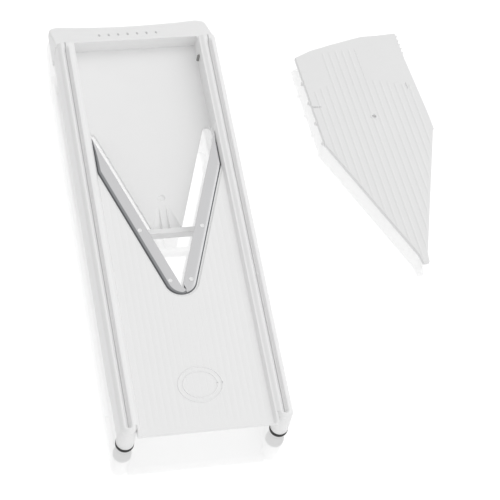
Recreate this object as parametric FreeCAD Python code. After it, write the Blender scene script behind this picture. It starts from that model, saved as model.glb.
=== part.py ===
import FreeCAD, Part
import math
import os

os.makedirs("parts", exist_ok=True)

# V-blade mandoline slicer with its loose thickness insert, in millimetres.  X runs across
# the slicer, Y runs along it from the near feet (-Y) to the handle (+Y), Z is up and the
# table is at z 0.  Everything is drawn about the slicer's centre line, halfway along its
# rails; the last step moves the whole set so that the origin is the middle of its footprint.

# ---- rails and walls -------------------------------------------------------------
rail_length = 339.0
body_width = 125.6          # across the outer walls, under the rail tops
rail_top = 31.8
wall = 2.4                  # thickness of the moulded walls
skirt_bottom = 8.0          # the side walls stop this far above the table
skirt_flare = 0.7           # draft of each side wall, outward at its lower edge
skirt_step_height = 3.0     # the side walls are cut higher beside the feet
skirt_step_length = 34.0

# ---- guard track moulded in the top of each rail ---------------------------------
track_inset = 6.05          # centre of the track, in from the outer wall
track_mouth = 4.4
track_floor_width = 2.0
track_depth = 3.2
ridge_width = 1.45
ridge_fall = 2.4            # width of the slope outside each ridge
ridge_drop = 2.4            # how far the outer slope drops
ledge_drop = 1.4            # the inner ledge lies this far under the ridges
ledge_width = 1.2
rail_floor_step = 1.2       # the rail's underside steps in this far beside the deck

# ---- slide deck and insert bed ----------------------------------------------------
deck_drop = 4.8             # the deck lies this far under the rail tops
deck_edge_width = 1.6       # sloping wall between the deck and the rail's ledge
near_setback = 1.0          # the deck's near edge, in from the rail's nominal end
near_overhang = 7.8         # the deck reaches this far in front of the foot axis
bed_top = 12.5
bed_wall_lean = 0.2
slot_beyond_blade = 15.2    # the slots run on past the blade's upper corner
bed_section_lead = 7.0      # the rail's deep inner wall starts this far before the bed
web_landing_lead = 6.0      # and its landing starts this far before the blade web
bed_far_gap = 3.5           # from the rail's far end to the wall at the end of the bed
crossbar_from_vertex = 55.0
crossbar_depth = 4.0
crossbar_height = 8.0

# ---- V blades and their pocket ----------------------------------------------------
blade_half_angle = 19.6     # degrees, each cutting edge from the centre line
blade_vertex = -52.0        # where the two cutting edges meet
blade_width = 10.2
blade_thickness = 1.2
blade_proud = 0.2           # blade top over the deck
blade_bevel_width = 2.6
blade_bevel_height = 0.9
edge_grind_width = 2.0
edge_grind_height = 0.9
blade_gap = 1.6             # open line between the blade and the pocket's wall
blade_side_gap = 1.0        # blade to rail wall at the blade's upper corners
pocket_end_radius = 14.0
pocket_ledge_setback = 3.5  # the cutting edge overhangs the pocket's floor by this much
seam_gap = 0.1
seam_start = 1.0            # the seam's distance from the centre line at the vertex
seam_end = 2.7              # and at the blades' blunt end
seam_kink = 0.5
seam_kink_rise = 0.6
seam_bend = 2.0             # the seam is straight down to this far before the vertex
slot_width = 8.8            # between the tongue's edge and the cutting edge, seen from above
web_setback = 4.5
web_bottom = 4.5
pin_offset = 5.4            # pin centre from the cutting edge
pin_lower_from_vertex = 6.0
pin_upper_from_vertex = 50.5
pin_radius = 1.45
pin_recess = 0.2            # pin top under the blade's top
pin_blind = 0.2             # plastic left under each pin

# ---- handle -------------------------------------------------------------------------
handle_length = 35.4
handle_drop = 4.6           # the slope starts this far under the rail tops
handle_edge_height = 2.2
handle_edge_hollow = 4.6    # how far the far edge curves in at its middle
handle_corner = 8.0

# ---- feet ---------------------------------------------------------------------------
foot_radius = 6.6
foot_stub_radius = 4.6
foot_cap_height = 4.0
foot_cap_floor = 0.8
foot_cap_lip = 0.2          # the rubber cap stands out from the post by this much
foot_cap_chamfer = 0.6

# ---- thickness catch in the right rail --------------------------------------------
catch_from_end = 17.0       # catch centre to the wall at the end of the bed
catch_lift = 3.0            # nose's underside over the bed
catch_headroom = 3.7        # nose's top to the rail's underside
catch_nose_width = 2.0
catch_nose_reach = 1.7      # nose tip inside the bed's wall
catch_nose_tip = 0.6        # width of the nose's blunt tip
catch_body_width = 5.0
catch_body_depth = 4.0
catch_shoulder = 0.5        # the body stands above and below the nose
catch_back_gap = 0.4        # from the rail's wall to the body
catch_clearance = 0.3
housing_wall = 1.2
housing_back_gap = 0.2
spring_wire = 0.35          # wire radius
spring_radius = 1.35
spring_turns = 5
spring_bore_depth = 2.6
spring_bore_clearance = 0.25
spring_end_clearance = 0.1

# ---- thickness insert ----------------------------------------------------------------
insert_gap_left = 2.15      # plain side to the bed's wall when it is seated
insert_gap_right = 4.35     # toothed side to the bed's wall
insert_half_angle = 20.8
insert_travel = 11.8        # free length of the bed when the insert is against the blades
insert_far_drop_left = 11.2
insert_far_drop_right = 1.4
insert_far_bulge = 7.4      # the far edge's left part, over its corner
insert_far_bulge_x = -16.0
insert_crown_x = 13.0
insert_tip_width = 8.0
insert_tip_start = 9.0
insert_tip_taper = 0.6      # share of the tip's width left at its very end
insert_shoulder_round = 9.0
insert_shoulder_step = 0.6
insert_toothed_length = 22.0
insert_toothed_inset = 3.0  # the toothed stretch is set in from the side
insert_top = 5.0
insert_sheet = 2.2
insert_rim_width = 1.8
insert_rim_bottom = 1.2
insert_nub_radius = 1.3
insert_nub_lead = 3.7       # first nub past the shoulder
insert_nub_end = 23.8       # last nub before the far corner
insert_nub_count = 4
insert_nub_proud = 0.6      # nub centre, in from the plain side
insert_inner_nub_inset = 8.6
insert_rest_depth = 2.2     # rest under the tip
insert_rest_drop = 0.5
insert_tooth_count = 5
insert_tooth_pitch = 4.2
insert_tooth_depth = 1.3
insert_tooth_rise = 1.6
insert_tooth_base = 2.2
insert_tooth_root = 0.2     # the teeth start this far inside the plate
insert_hole_radius = 1.6
insert_hole_lead = 19.5     # hole past the shoulder
insert_slit_width = 0.9
insert_side_slit_lead = 35.0
insert_side_slit_depth = 7.5
insert_short_slit_lead = 41.0
insert_short_slit_length = 5.0
insert_short_slit_inset = 9.8
insert_tip_from_wall = 134.8    # insert's tip on the table, from the slicer's right wall
insert_tip_y = -36.0
insert_turn = 5.5               # degrees, anticlockwise seen from above

# ---- how far cutting shapes run past what they cut --------------------------------------
beyond = 1.0
v_beyond = 40.0

# ---- derived places -------------------------------------------------------------------
half_width = body_width / 2.0
skirt_out = half_width + skirt_flare
rail_near = -rail_length / 2.0
rail_far = rail_length / 2.0
track_x = half_width - track_inset
track_floor = rail_top - track_depth
track_bottom = track_floor - wall
ridge_out = track_mouth / 2.0 + ridge_width
ledge_top = rail_top - ledge_drop
ledge_outer = track_x - ridge_out - ridge_fall
ledge_inner = ledge_outer - ledge_width
deck_half = ledge_inner - deck_edge_width
deck_top = rail_top - deck_drop
deck_bottom = deck_top - wall
deck_near = rail_near + near_setback
foot_y = deck_near + near_overhang
foot_cap_radius = foot_radius + foot_cap_lip

angle = math.radians(blade_half_angle)
pocket_offset = blade_width + blade_gap
blade_top = deck_top + blade_proud
pocket_floor = blade_top - blade_thickness
blade_limit = deck_half - blade_side_gap
end_centre_y = blade_vertex - (pocket_offset - pocket_end_radius) / math.sin(angle)
blunt_end = end_centre_y - pocket_end_radius
pin_lower_y = blade_vertex + pin_lower_from_vertex
pin_upper_y = blade_vertex + pin_upper_from_vertex

bed_half = ledge_inner - bed_wall_lean
bed_bottom = bed_top - wall
bed_far = rail_far + bed_far_gap
bed_near_end = blade_vertex + blade_limit / math.tan(angle) + slot_beyond_blade
deep_wall_start = bed_near_end - bed_section_lead
web_outer = web_setback + wall
web_meets_wall = blade_vertex + (bed_half - web_outer / math.cos(angle)) / math.tan(angle)
web_landing_start = web_meets_wall - web_landing_lead
crossbar_front = blade_vertex + crossbar_from_vertex
crossbar_back = crossbar_front + crossbar_depth

handle_top = rail_top - handle_drop
handle_far = rail_far + handle_length

catch_y = bed_far - catch_from_end
catch_low = bed_top + catch_lift
catch_high = track_bottom - catch_headroom
catch_back = bed_half + wall + catch_back_gap
catch_end = catch_back + catch_body_depth
catch_middle = (catch_low + catch_high) / 2.0
spring_start = catch_end - spring_bore_depth
housing_end = half_width - wall - housing_back_gap
spring_seat = housing_end - housing_wall

insert_left = bed_half - insert_gap_left
insert_right = bed_half - insert_gap_right
insert_half_tip = insert_tip_width / 2.0
insert_v_length = (insert_right - insert_half_tip) / math.tan(math.radians(insert_half_angle))
insert_shoulder = insert_tip_start + insert_v_length
insert_crown = bed_far - blade_vertex - insert_travel
insert_far_left = insert_crown - insert_far_drop_left
insert_far_right = insert_crown - insert_far_drop_right
insert_tip_x = half_width + insert_tip_from_wall


def vec(x, y, z=0.0):
    return FreeCAD.Vector(x, y, z)


def box(x0, x1, y0, y1, z0, z1):
    return Part.makeBox(x1 - x0, y1 - y0, z1 - z0, vec(x0, y0, z0))


def polygon_face(points):
    return Part.Face(Part.makePolygon(points + [points[0]]))


def prism(outline, z0, z1):
    """Closed (x, y) outline raised from z0 to z1."""
    face = polygon_face([vec(x, y, z0) for x, y in outline])
    return face.extrude(vec(0, 0, z1 - z0))


def section_along_y(outline, y0, y1):
    """Closed (x, z) outline carried along Y from y0 to y1."""
    face = polygon_face([vec(x, y0, z) for x, z in outline])
    return face.extrude(vec(0, y1 - y0, 0))


def section_along_x(outline, x0, x1):
    """Closed (y, z) outline carried along X from x0 to x1."""
    face = polygon_face([vec(x0, y, z) for y, z in outline])
    return face.extrude(vec(x1 - x0, 0, 0))


def mirrored(shape):
    return shape.mirror(vec(0, 0, 0), vec(1, 0, 0))


# ---- V-shaped outlines ------------------------------------------------------------------
def edge_x(y, offset):
    """Distance from the centre line, at y, of the line this far outside a cutting edge."""
    return (y - blade_vertex) * math.tan(angle) + offset / math.cos(angle)


def v_pointed(offset, y_top, z):
    """Closed V with a sharp vertex, open end up to y_top, offset outward from the cutting edges."""
    top = edge_x(y_top, offset)
    vertex = blade_vertex - offset / math.sin(angle)
    corners = [vec(-top, y_top, z), vec(0, vertex, z), vec(top, y_top, z)]
    return Part.makePolygon(corners + [corners[0]])


def v_rounded(offset, y_top, z):
    """The same V with its vertex rounded about the pocket's end centre."""
    radius = pocket_end_radius - (pocket_offset - offset)
    top = edge_x(y_top, offset)
    touch_x = radius * math.cos(angle)
    touch_y = end_centre_y - radius * math.sin(angle)
    left = vec(-touch_x, touch_y, z)
    right = vec(touch_x, touch_y, z)
    edges = [
        Part.LineSegment(vec(-top, y_top, z), left),
        Part.Arc(left, vec(0, end_centre_y - radius, z), right),
        Part.LineSegment(right, vec(top, y_top, z)),
        Part.LineSegment(vec(top, y_top, z), vec(-top, y_top, z)),
    ]
    return Part.Wire([edge.toShape() for edge in edges])


def v_prism(wire, height):
    return Part.Face(wire).extrude(vec(0, 0, height))


# ---- frame moulding -----------------------------------------------------------------------
def foot_post(side):
    x = side * track_x
    post = Part.makeCylinder(foot_radius, track_bottom - foot_cap_height, vec(x, foot_y, foot_cap_height))
    stub = Part.makeCylinder(foot_stub_radius, foot_cap_height - foot_cap_floor, vec(x, foot_y, foot_cap_floor))
    return post.fuse(stub)


def foot_cap(side):
    x = side * track_x
    outer = Part.makeCylinder(foot_cap_radius, foot_cap_height, vec(x, foot_y, 0))
    outer = outer.makeChamfer(foot_cap_chamfer, [outer.Edges[0], outer.Edges[2]])
    bore = Part.makeCylinder(foot_stub_radius, foot_cap_height, vec(x, foot_y, foot_cap_floor))
    return outer.cut(bore)


def track_lip():
    """Rounded near end of the rail: half the track's section turned about the foot's axis."""
    radial = [
        (0.0, track_bottom),
        (0.0, track_floor),
        (track_floor_width / 2.0, track_floor),
        (track_mouth / 2.0, rail_top),
        (ridge_out, rail_top),
        (ridge_out + ridge_fall, rail_top - ridge_drop),
        (ridge_out + ridge_fall, track_bottom),
    ]
    face = polygon_face([vec(track_x + r, foot_y, z) for r, z in radial])
    return face.revolve(vec(track_x, foot_y, 0), vec(0, 0, 1), -180)


def catch_window():
    x0 = bed_half - beyond
    x1 = bed_half + wall + beyond
    half = catch_nose_width / 2.0 + catch_clearance
    low = catch_low - catch_clearance
    return box(x0, x1, catch_y - half, catch_y + half, low, catch_high + catch_clearance)


def rail(with_catch):
    """Right-hand rail: outer wall, guard track, ledge, and the inner wall of the insert bed."""
    outside = [
        (skirt_out, skirt_bottom),
        (half_width, rail_top - ridge_drop),
        (track_x + ridge_out, rail_top),
        (track_x + track_mouth / 2.0, rail_top),
        (track_x + track_floor_width / 2.0, track_floor),
        (track_x - track_floor_width / 2.0, track_floor),
        (track_x - track_mouth / 2.0, rail_top),
        (track_x - ridge_out, rail_top),
        (ledge_outer, ledge_top),
        (ledge_inner, ledge_top),
    ]
    skirt_inside = [
        (half_width - wall, track_bottom),
        (skirt_out - wall, skirt_bottom),
    ]
    beside_deck = [
        (deck_half, deck_top),
        (deck_half, deck_bottom),
        (ledge_outer, deck_bottom),
        (ledge_outer + rail_floor_step, track_bottom),
    ]
    beside_bed = [
        (bed_half, bed_bottom),
        (bed_half + wall, bed_bottom),
        (bed_half + wall, track_bottom),
    ]
    near_ledge = [
        (deck_half, deck_bottom),
        (deck_half, deck_top),
        (ledge_inner, ledge_top),
        (ledge_outer, ledge_top),
        (ledge_outer, deck_bottom),
    ]
    pieces = [
        section_along_y(outside + beside_bed + skirt_inside, deep_wall_start, rail_far),
        section_along_y(near_ledge, deck_near, foot_y),
        box(bed_half, bed_half + wall, web_landing_start, deep_wall_start, web_bottom, deck_bottom),
        track_lip(),
    ]
    whole = section_along_y(outside + beside_deck + skirt_inside, foot_y, deep_wall_start).fuse(pieces)
    skirt_step = box(half_width - wall - beyond, skirt_out + beyond, foot_y - beyond,
                     foot_y + skirt_step_length, 0, skirt_bottom + skirt_step_height)
    cuts = [foot_post(1), skirt_step]
    if with_catch:
        cuts.append(catch_window())
    return whole.cut(cuts)


def slide_deck():
    plate = box(-deck_half, deck_half, deck_near, bed_near_end, deck_bottom, deck_top)
    y_top = bed_near_end + v_beyond
    opening = v_prism(v_rounded(pocket_ledge_setback, y_top, deck_bottom - beyond), wall + 2.0 * beyond)
    pocket = v_prism(v_rounded(pocket_offset, y_top, pocket_floor), blade_thickness + beyond)
    pins = [blade_pin(side, y) for side in (-1, 1) for y in (pin_lower_y, pin_upper_y)]
    return plate.cut([opening, pocket] + pins)


def insert_bed():
    bed = box(-bed_half, bed_half, bed_near_end, bed_far, bed_bottom, bed_top)
    low_x = edge_x(crossbar_back, -slot_width)
    high_x = edge_x(bed_near_end, -slot_width)
    tongue = prism([(-low_x, crossbar_back), (low_x, crossbar_back), (high_x, bed_near_end),
                    (-high_x, bed_near_end)], bed_bottom, bed_top)
    return bed.fuse(tongue)


def crossbar():
    bar = box(-bed_half, bed_half, crossbar_front, crossbar_back, bed_top - crossbar_height, bed_top)
    between_webs = v_prism(v_rounded(web_setback, bed_near_end, 0), deck_top)
    return bar.common(between_webs)


def blade_web(side):
    """Upright wall under one blade, from the end of the V to the rail's inner wall."""
    outer = v_prism(v_rounded(web_outer, bed_near_end, web_bottom), deck_bottom - web_bottom)
    inner = v_prism(v_rounded(web_setback, bed_near_end + beyond, web_bottom - beyond),
                    deck_bottom - web_bottom + 2.0 * beyond)
    half = box(0, bed_half, blunt_end, bed_near_end, web_bottom, deck_bottom)
    web = outer.cut(inner).common(half)
    return web if side > 0 else mirrored(web)


def handle_plan(inset, z0, z1):
    """The handle seen from above: square to the rails, round corners, hollowed far edge."""
    x = skirt_out - inset
    far = handle_far - inset
    near = rail_far - beyond
    r = handle_corner - inset / 2.0
    diagonal = r * (1.0 - math.sqrt(0.5))
    corner_start = vec(x, far - r, z0)
    corner_end = vec(x - r, far, z0)
    other_end = vec(r - x, far, z0)
    other_start = vec(-x, far - r, z0)
    edges = [
        Part.LineSegment(vec(x, near, z0), corner_start),
        Part.Arc(corner_start, vec(x - diagonal, far - diagonal, z0), corner_end),
        Part.Arc(corner_end, vec(0, far - handle_edge_hollow, z0), other_end),
        Part.Arc(other_end, vec(diagonal - x, far - diagonal, z0), other_start),
        Part.LineSegment(other_start, vec(-x, near, z0)),
        Part.LineSegment(vec(-x, near, z0), vec(x, near, z0)),
    ]
    wire = Part.Wire([edge.toShape() for edge in edges])
    return Part.Face(wire).extrude(vec(0, 0, z1 - z0))


def handle():
    """Sloping hollow grip, and the wall at the end of the insert bed."""
    slope = (handle_top - handle_edge_height) / handle_length
    near = rail_far - beyond
    profile = [(rail_far, 0), (rail_far, handle_top), (handle_far, handle_edge_height), (handle_far, 0)]
    body = section_along_x(profile, -skirt_out, skirt_out).common(handle_plan(0.0, -beyond, rail_top))
    inside_top = handle_top - wall * math.sqrt(1.0 + slope ** 2)
    inside_end = rail_far + (inside_top + beyond) / slope
    inside = [(near, -beyond), (near, inside_top + slope * beyond), (inside_end, -beyond)]
    hollow = section_along_x(inside, -skirt_out, skirt_out)
    hollow = hollow.common(handle_plan(wall, -2.0 * beyond, rail_top))
    end_wall_x = bed_half + wall
    end_wall = box(-end_wall_x, end_wall_x, rail_far, bed_far + wall, -2.0 * beyond, rail_top)
    under_end_wall = box(-end_wall_x, end_wall_x, near, bed_far + wall, -beyond, bed_bottom)
    bed_space = box(-bed_half, bed_half, near, bed_far, -beyond, rail_top)
    return body.cut(hollow.cut(end_wall)).cut([under_end_wall, bed_space])


# ---- blades ---------------------------------------------------------------------------------
def blade_pin(side, y):
    """Plastic pin through the blade and into the deck, its top just under the blade's."""
    bottom = deck_bottom + pin_blind
    return Part.makeCylinder(pin_radius, blade_top - pin_recess - bottom, vec(side * edge_x(y, pin_offset), y, bottom))


def blade_pair():
    """Both blades as one V: bevelled outer edge, cutting edge ground from below."""
    y_top = bed_near_end + v_beyond
    past = y_top + beyond
    bevel_foot = blade_top - blade_bevel_height
    base = v_prism(v_rounded(blade_width, y_top, pocket_floor), bevel_foot - pocket_floor)
    bevel = Part.makeLoft([v_rounded(blade_width, y_top, bevel_foot),
                           v_rounded(blade_width - blade_bevel_width, y_top, blade_top)], True, True)
    grind_top = pocket_floor + edge_grind_height
    grind = Part.makeLoft([v_pointed(edge_grind_width, past, pocket_floor), v_pointed(0.0, past, grind_top)],
                          True, True)
    above_grind = v_prism(v_pointed(0.0, past, grind_top), blade_top + beyond - grind_top)
    between_rails = box(-blade_limit, blade_limit, blunt_end - beyond, y_top, 0, rail_top)
    return base.fuse(bevel).cut([grind, above_grind]).common(between_rails)


def blade(side):
    """One side of the pair, split along the stepped seam at the vertex, with its pin holes."""
    gap = seam_gap if side > 0 else 0.0
    y_top = bed_near_end + v_beyond
    bend = blade_vertex + seam_bend
    middle_x = (seam_start + seam_end) / 2.0 + gap
    middle_y = (bend + blunt_end) / 2.0
    far_x = side * skirt_out
    low_y = blunt_end - beyond
    outline = [
        (seam_start + gap, y_top),
        (seam_start + gap, bend),
        (middle_x - seam_kink, middle_y + seam_kink_rise),
        (middle_x + seam_kink, middle_y - seam_kink_rise),
        (seam_end + gap, low_y),
        (far_x, low_y),
        (far_x, y_top),
    ]
    holes = [Part.makeCylinder(pin_radius, rail_top, vec(side * edge_x(y, pin_offset), y, 0))
             for y in (pin_lower_y, pin_upper_y)]
    return blade_pair().common(prism(outline, 0, rail_top)).cut(holes)


# ---- thickness catch ---------------------------------------------------------------------------
def catch_plunger():
    """Sprung plunger: a nose through the bed's wall, a body bored for the spring."""
    y0 = catch_y - catch_body_width / 2.0
    body = box(catch_back, catch_end, y0, y0 + catch_body_width, catch_low - catch_shoulder,
               catch_high + catch_shoulder)
    tip = bed_half - catch_nose_reach
    half_nose = catch_nose_width / 2.0
    half_tip = catch_nose_tip / 2.0
    nose = prism([(catch_back, catch_y - half_nose), (catch_back, catch_y + half_nose),
                  (bed_half, catch_y + half_nose), (tip, catch_y + half_tip),
                  (tip, catch_y - half_tip), (bed_half, catch_y - half_nose)], catch_low, catch_high)
    bore_radius = spring_radius + spring_wire + spring_bore_clearance
    bore_start = vec(spring_start, catch_y, catch_middle)
    bore = Part.makeCylinder(bore_radius, spring_bore_depth + beyond, bore_start, vec(1, 0, 0))
    return body.fuse(nose).cut(bore)


def catch_housing():
    """Snap-in box inside the rail that guides the plunger and backs its spring."""
    half_room = catch_body_width / 2.0 + catch_clearance
    low = catch_low - catch_shoulder - catch_clearance
    high = catch_high + catch_shoulder + catch_clearance
    start = bed_half + wall
    outer = box(start, housing_end, catch_y - half_room - housing_wall, catch_y + half_room + housing_wall,
                low - housing_wall, high + housing_wall)
    room = box(start - beyond, spring_seat, catch_y - half_room, catch_y + half_room, low, high)
    return outer.cut(room)


def catch_spring():
    """Compression spring between the plunger's bore and the housing's back wall."""
    length = spring_seat - spring_start - 2.0 * (spring_wire + spring_end_clearance)
    helix = Part.makeHelix(length / spring_turns, length, spring_radius)
    circle = Part.Circle(vec(spring_radius, 0, 0), vec(0, 1, 0), spring_wire)
    coil = Part.Wire(helix.Edges).makePipeShell([Part.Wire([circle.toShape()])], True, True)
    start = vec(spring_start + spring_wire + spring_end_clearance, catch_y, catch_middle)
    coil.Placement = FreeCAD.Placement(start, FreeCAD.Rotation(vec(0, 1, 0), 90))
    return coil


# ---- thickness insert ------------------------------------------------------------------------------
def insert_outline(inset, z0, z1):
    """The insert seen from above, its blunt tip at the origin, the curved far edge at +Y."""
    left = inset - insert_left
    right = insert_right - inset
    half_tip = insert_half_tip - inset
    end_tip = half_tip * insert_tip_taper
    toothed = right - insert_toothed_inset
    far_left = vec(left, insert_far_left - inset, z0)
    far_right = vec(toothed, insert_far_right - inset, z0)
    corners = [
        far_right,
        vec(toothed, insert_far_right - insert_toothed_length, z0),
        vec(right, insert_shoulder + insert_shoulder_round, z0),
        vec(right - insert_shoulder_step, insert_shoulder, z0),
        vec(half_tip, insert_tip_start, z0),
        vec(end_tip, inset, z0),
        vec(-end_tip, inset, z0),
        vec(-half_tip, insert_tip_start, z0),
        vec(left + insert_shoulder_step, insert_shoulder, z0),
        far_left,
    ]
    far_edge = Part.BSplineCurve()
    far_edge.interpolate([
        far_left,
        vec(insert_far_bulge_x, insert_far_left + insert_far_bulge - inset, z0),
        vec(insert_crown_x, insert_crown - inset, z0),
        far_right,
    ])
    wire = Part.Wire([Part.makePolygon(corners), far_edge.toShape()])
    return Part.Face(wire).extrude(vec(0, 0, z1 - z0))


def insert_nubs():
    """Two rows of short pegs that the insert slides and stands on."""
    under_sheet = insert_top - insert_sheet / 2.0
    rows = (insert_nub_proud - insert_left, insert_right - insert_inner_nub_inset)
    first = insert_shoulder + insert_nub_lead
    pitch = (insert_far_left - insert_nub_end - first) / (insert_nub_count - 1)
    return [Part.makeCylinder(insert_nub_radius, under_sheet, vec(x, first + index * pitch, 0))
            for x in rows for index in range(insert_nub_count)]


def insert_teeth():
    x = insert_right - insert_toothed_inset - insert_tooth_root
    tip = x + insert_tooth_root + insert_tooth_depth
    first = insert_far_right - insert_tooth_count * insert_tooth_pitch
    teeth = []
    for index in range(insert_tooth_count):
        y = first + index * insert_tooth_pitch
        teeth.append(prism([(x, y), (tip, y + insert_tooth_rise), (x, y + insert_tooth_base)],
                           insert_rim_bottom, insert_top))
    return teeth


def insert_cuts():
    """Fixing hole, the transverse slit in the plain side and the short slit beside the teeth."""
    height = insert_top + beyond
    hole = Part.makeCylinder(insert_hole_radius, height, vec(0, insert_shoulder + insert_hole_lead, 0))
    side_y = insert_shoulder + insert_side_slit_lead
    side_slit = box(-insert_left - beyond, insert_side_slit_depth - insert_left, side_y,
                    side_y + insert_slit_width, 0, height)
    short_x = insert_right - insert_short_slit_inset
    short_y = insert_shoulder + insert_short_slit_lead
    short_slit = box(short_x, short_x + insert_slit_width, short_y,
                     short_y + insert_short_slit_length, 0, height)
    return [hole, side_slit, short_slit]


def insert_plate():
    sheet_bottom = insert_top - insert_sheet
    plate = insert_outline(0.0, insert_rim_bottom, insert_top)
    hollow = insert_outline(insert_rim_width, insert_rim_bottom - beyond, sheet_bottom)
    half_rest = insert_half_tip * insert_tip_taper
    tip_rest = box(-half_rest, half_rest, 0.0, insert_rest_depth, 0, insert_top - insert_rest_drop)
    plate = plate.cut(hollow).fuse(insert_nubs() + insert_teeth() + [tip_rest]).cut(insert_cuts())
    plate.Placement = FreeCAD.Placement(vec(insert_tip_x, insert_tip_y, 0),
                                        FreeCAD.Rotation(vec(0, 0, 1), insert_turn))
    return plate


def build():
    pieces = {
        "frame_rail_right": rail(True),
        "frame_rail_left": mirrored(rail(False)),
        "frame_slide_deck": slide_deck(),
        "frame_insert_bed": insert_bed(),
        "frame_crossbar": crossbar(),
        "frame_handle": handle(),
        "catch_housing": catch_housing(),
        "thickness_catch": catch_plunger(),
        "catch_spring": catch_spring(),
        "thickness_insert": insert_plate(),
    }
    for side, name in ((-1, "left"), (1, "right")):
        pieces["frame_blade_web_" + name] = blade_web(side)
        pieces["frame_foot_" + name] = foot_post(side)
        pieces["foot_cap_" + name] = foot_cap(side)
        pieces["blade_" + name] = blade(side)
        pieces["blade_pin_" + name + "_lower"] = blade_pin(side, pin_lower_y)
        pieces["blade_pin_" + name + "_upper"] = blade_pin(side, pin_upper_y)
    outermost = ("frame_rail_left", "frame_slide_deck", "frame_handle", "thickness_insert")
    footprint = Part.makeCompound([pieces[node] for node in outermost])
    limits = footprint.optimalBoundingBox(False, False)
    to_origin = vec(-limits.Center.x, -limits.Center.y)
    for node, shape in pieces.items():
        shape = shape.removeSplitter()
        shape.translate(to_origin)
        shape.exportStep("parts/" + node + ".step")
    print("slicer centre line at x %.4f, y %.4f" % (to_origin.x, to_origin.y))


build()
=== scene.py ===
import math

import bmesh
import bpy
import numpy as np
from mathutils import Matrix, Vector


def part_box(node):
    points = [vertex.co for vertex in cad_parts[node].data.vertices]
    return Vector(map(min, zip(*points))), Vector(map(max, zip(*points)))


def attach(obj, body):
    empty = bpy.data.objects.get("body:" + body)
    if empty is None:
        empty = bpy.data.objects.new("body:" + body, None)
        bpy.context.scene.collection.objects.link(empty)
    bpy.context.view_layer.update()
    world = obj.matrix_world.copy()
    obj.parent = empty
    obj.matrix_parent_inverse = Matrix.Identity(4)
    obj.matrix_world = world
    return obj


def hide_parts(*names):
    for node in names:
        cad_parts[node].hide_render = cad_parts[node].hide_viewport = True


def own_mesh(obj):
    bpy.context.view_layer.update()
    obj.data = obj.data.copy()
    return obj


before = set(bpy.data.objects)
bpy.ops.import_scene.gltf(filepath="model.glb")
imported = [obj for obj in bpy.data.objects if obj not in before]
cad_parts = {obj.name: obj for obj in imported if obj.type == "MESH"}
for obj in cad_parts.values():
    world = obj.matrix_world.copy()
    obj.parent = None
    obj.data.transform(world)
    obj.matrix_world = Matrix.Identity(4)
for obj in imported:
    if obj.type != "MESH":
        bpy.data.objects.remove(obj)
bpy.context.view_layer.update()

# V-blade slicer and its loose thickness insert.  Shapes are worked out in millimetres about
# the slicer's centre line, halfway along its rails, with the table at z 0, and are then put
# in the frame's place and units by to_frame.
MM = 0.001
RAIL_LENGTH = 339.0


def span(node):
    """Lowest and highest corner of a CAD node in millimetres, in the frame's own place."""
    low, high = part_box(node)
    return np.array(low) / MM, np.array(high) / MM


cap_left = span("foot_cap_left")
cap_right = span("foot_cap_right")
CENTRE = np.array([(cap_left[0][0] + cap_right[1][0]) / 2.0,
                   span("frame_rail_right")[1][1] - RAIL_LENGTH / 2.0, 0.0])


def about_centre(node):
    """The same corners about the slicer's centre."""
    low, high = span(node)
    return low - CENTRE, high - CENTRE


rail_box = about_centre("frame_rail_right")
deck_box = about_centre("frame_slide_deck")
bed_box = about_centre("frame_insert_bed")
handle_box = about_centre("frame_handle")
post_box = about_centre("frame_foot_right")
cap_box = about_centre("foot_cap_right")
blade_box = about_centre("blade_right")

# ---- places taken from the frame ---------------------------------------------------------------
SKIRT_OUT, RAIL_FAR, RAIL_TOP = rail_box[1]
TRACK_X = (cap_box[0][0] + cap_box[1][0]) / 2.0
FOOT_Y = (cap_box[0][1] + cap_box[1][1]) / 2.0
DECK_HALF, _, DECK_TOP = deck_box[1]
DECK_NEAR, DECK_BOTTOM = deck_box[0][1], deck_box[0][2]
BED_HALF, BED_FAR, BED_TOP = bed_box[1]
CROSSBAR_BACK, BED_BOTTOM = bed_box[0][1], bed_box[0][2]
HANDLE_FAR, HANDLE_TOP = handle_box[1][1], handle_box[1][2]
POST_TOP = post_box[1][2]
POST_RADIUS = (post_box[1][0] - post_box[0][0]) / 2.0
CAP_RADIUS = (cap_box[1][0] - cap_box[0][0]) / 2.0
CAP_TOP = cap_box[1][2]
BLADE_TOP, BLADE_FLOOR = blade_box[1][2], blade_box[0][2]

# ---- sizes in millimetres ----------------------------------------------------------------------
WALL = 2.4
SLOT_END = RAIL_FAR - 74.6
TRACK_FLOOR_HALF = 1.0
TRACK_MOUTH_HALF = 2.2
RIDGE_OUT = 3.65
SLOPE_OUT = 6.05
TRACK_DEPTH = 3.2
RIDGE_DROP = 2.4
LEDGE_DROP = 1.4
LEDGE_OUT = 7.25
SKIRT_BOTTOM = 8.0
SKIRT_STEP = 3.0
SKIRT_STEP_LENGTH = 34.0
DEEP_WALL_LEAD = 7.0
VERTEX_Y = -52.0
HALF_ANGLE = math.radians(19.6)
BLADE_WIDTH = 10.2
BLADE_BEVEL = 2.6
BLADE_BEVEL_DROP = 0.9
EDGE_GRIND = 2.0
EDGE_LIP = 0.3
BLADE_SIDE_GAP = 0.15
BLADE_GROUND = 0.92
POCKET_OFFSET = 11.8
POCKET_RADIUS = 14.0
POCKET_LEDGE = 3.5
SLOT_WIDTH = 8.8
PIN_OFFSET = 5.4
PIN_RADIUS = 1.45
PIN_PLACES = (("lower", VERTEX_Y + 6.0), ("upper", VERTEX_Y + 50.5))
CATCH_Y = RAIL_FAR - 13.5
CATCH_HALF = 1.3
CATCH_LOW = BED_TOP + 3.0
CATCH_HIGH = BED_TOP + 10.0
HANDLE_EDGE = 2.2
HANDLE_HOLLOW = 4.6
HANDLE_CORNER = 8.0
END_WALL_LEAN = 0.6
GRIP_BARS = 7
GRIP_FIRST_X = -26.0
GRIP_PITCH = 7.6
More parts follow.
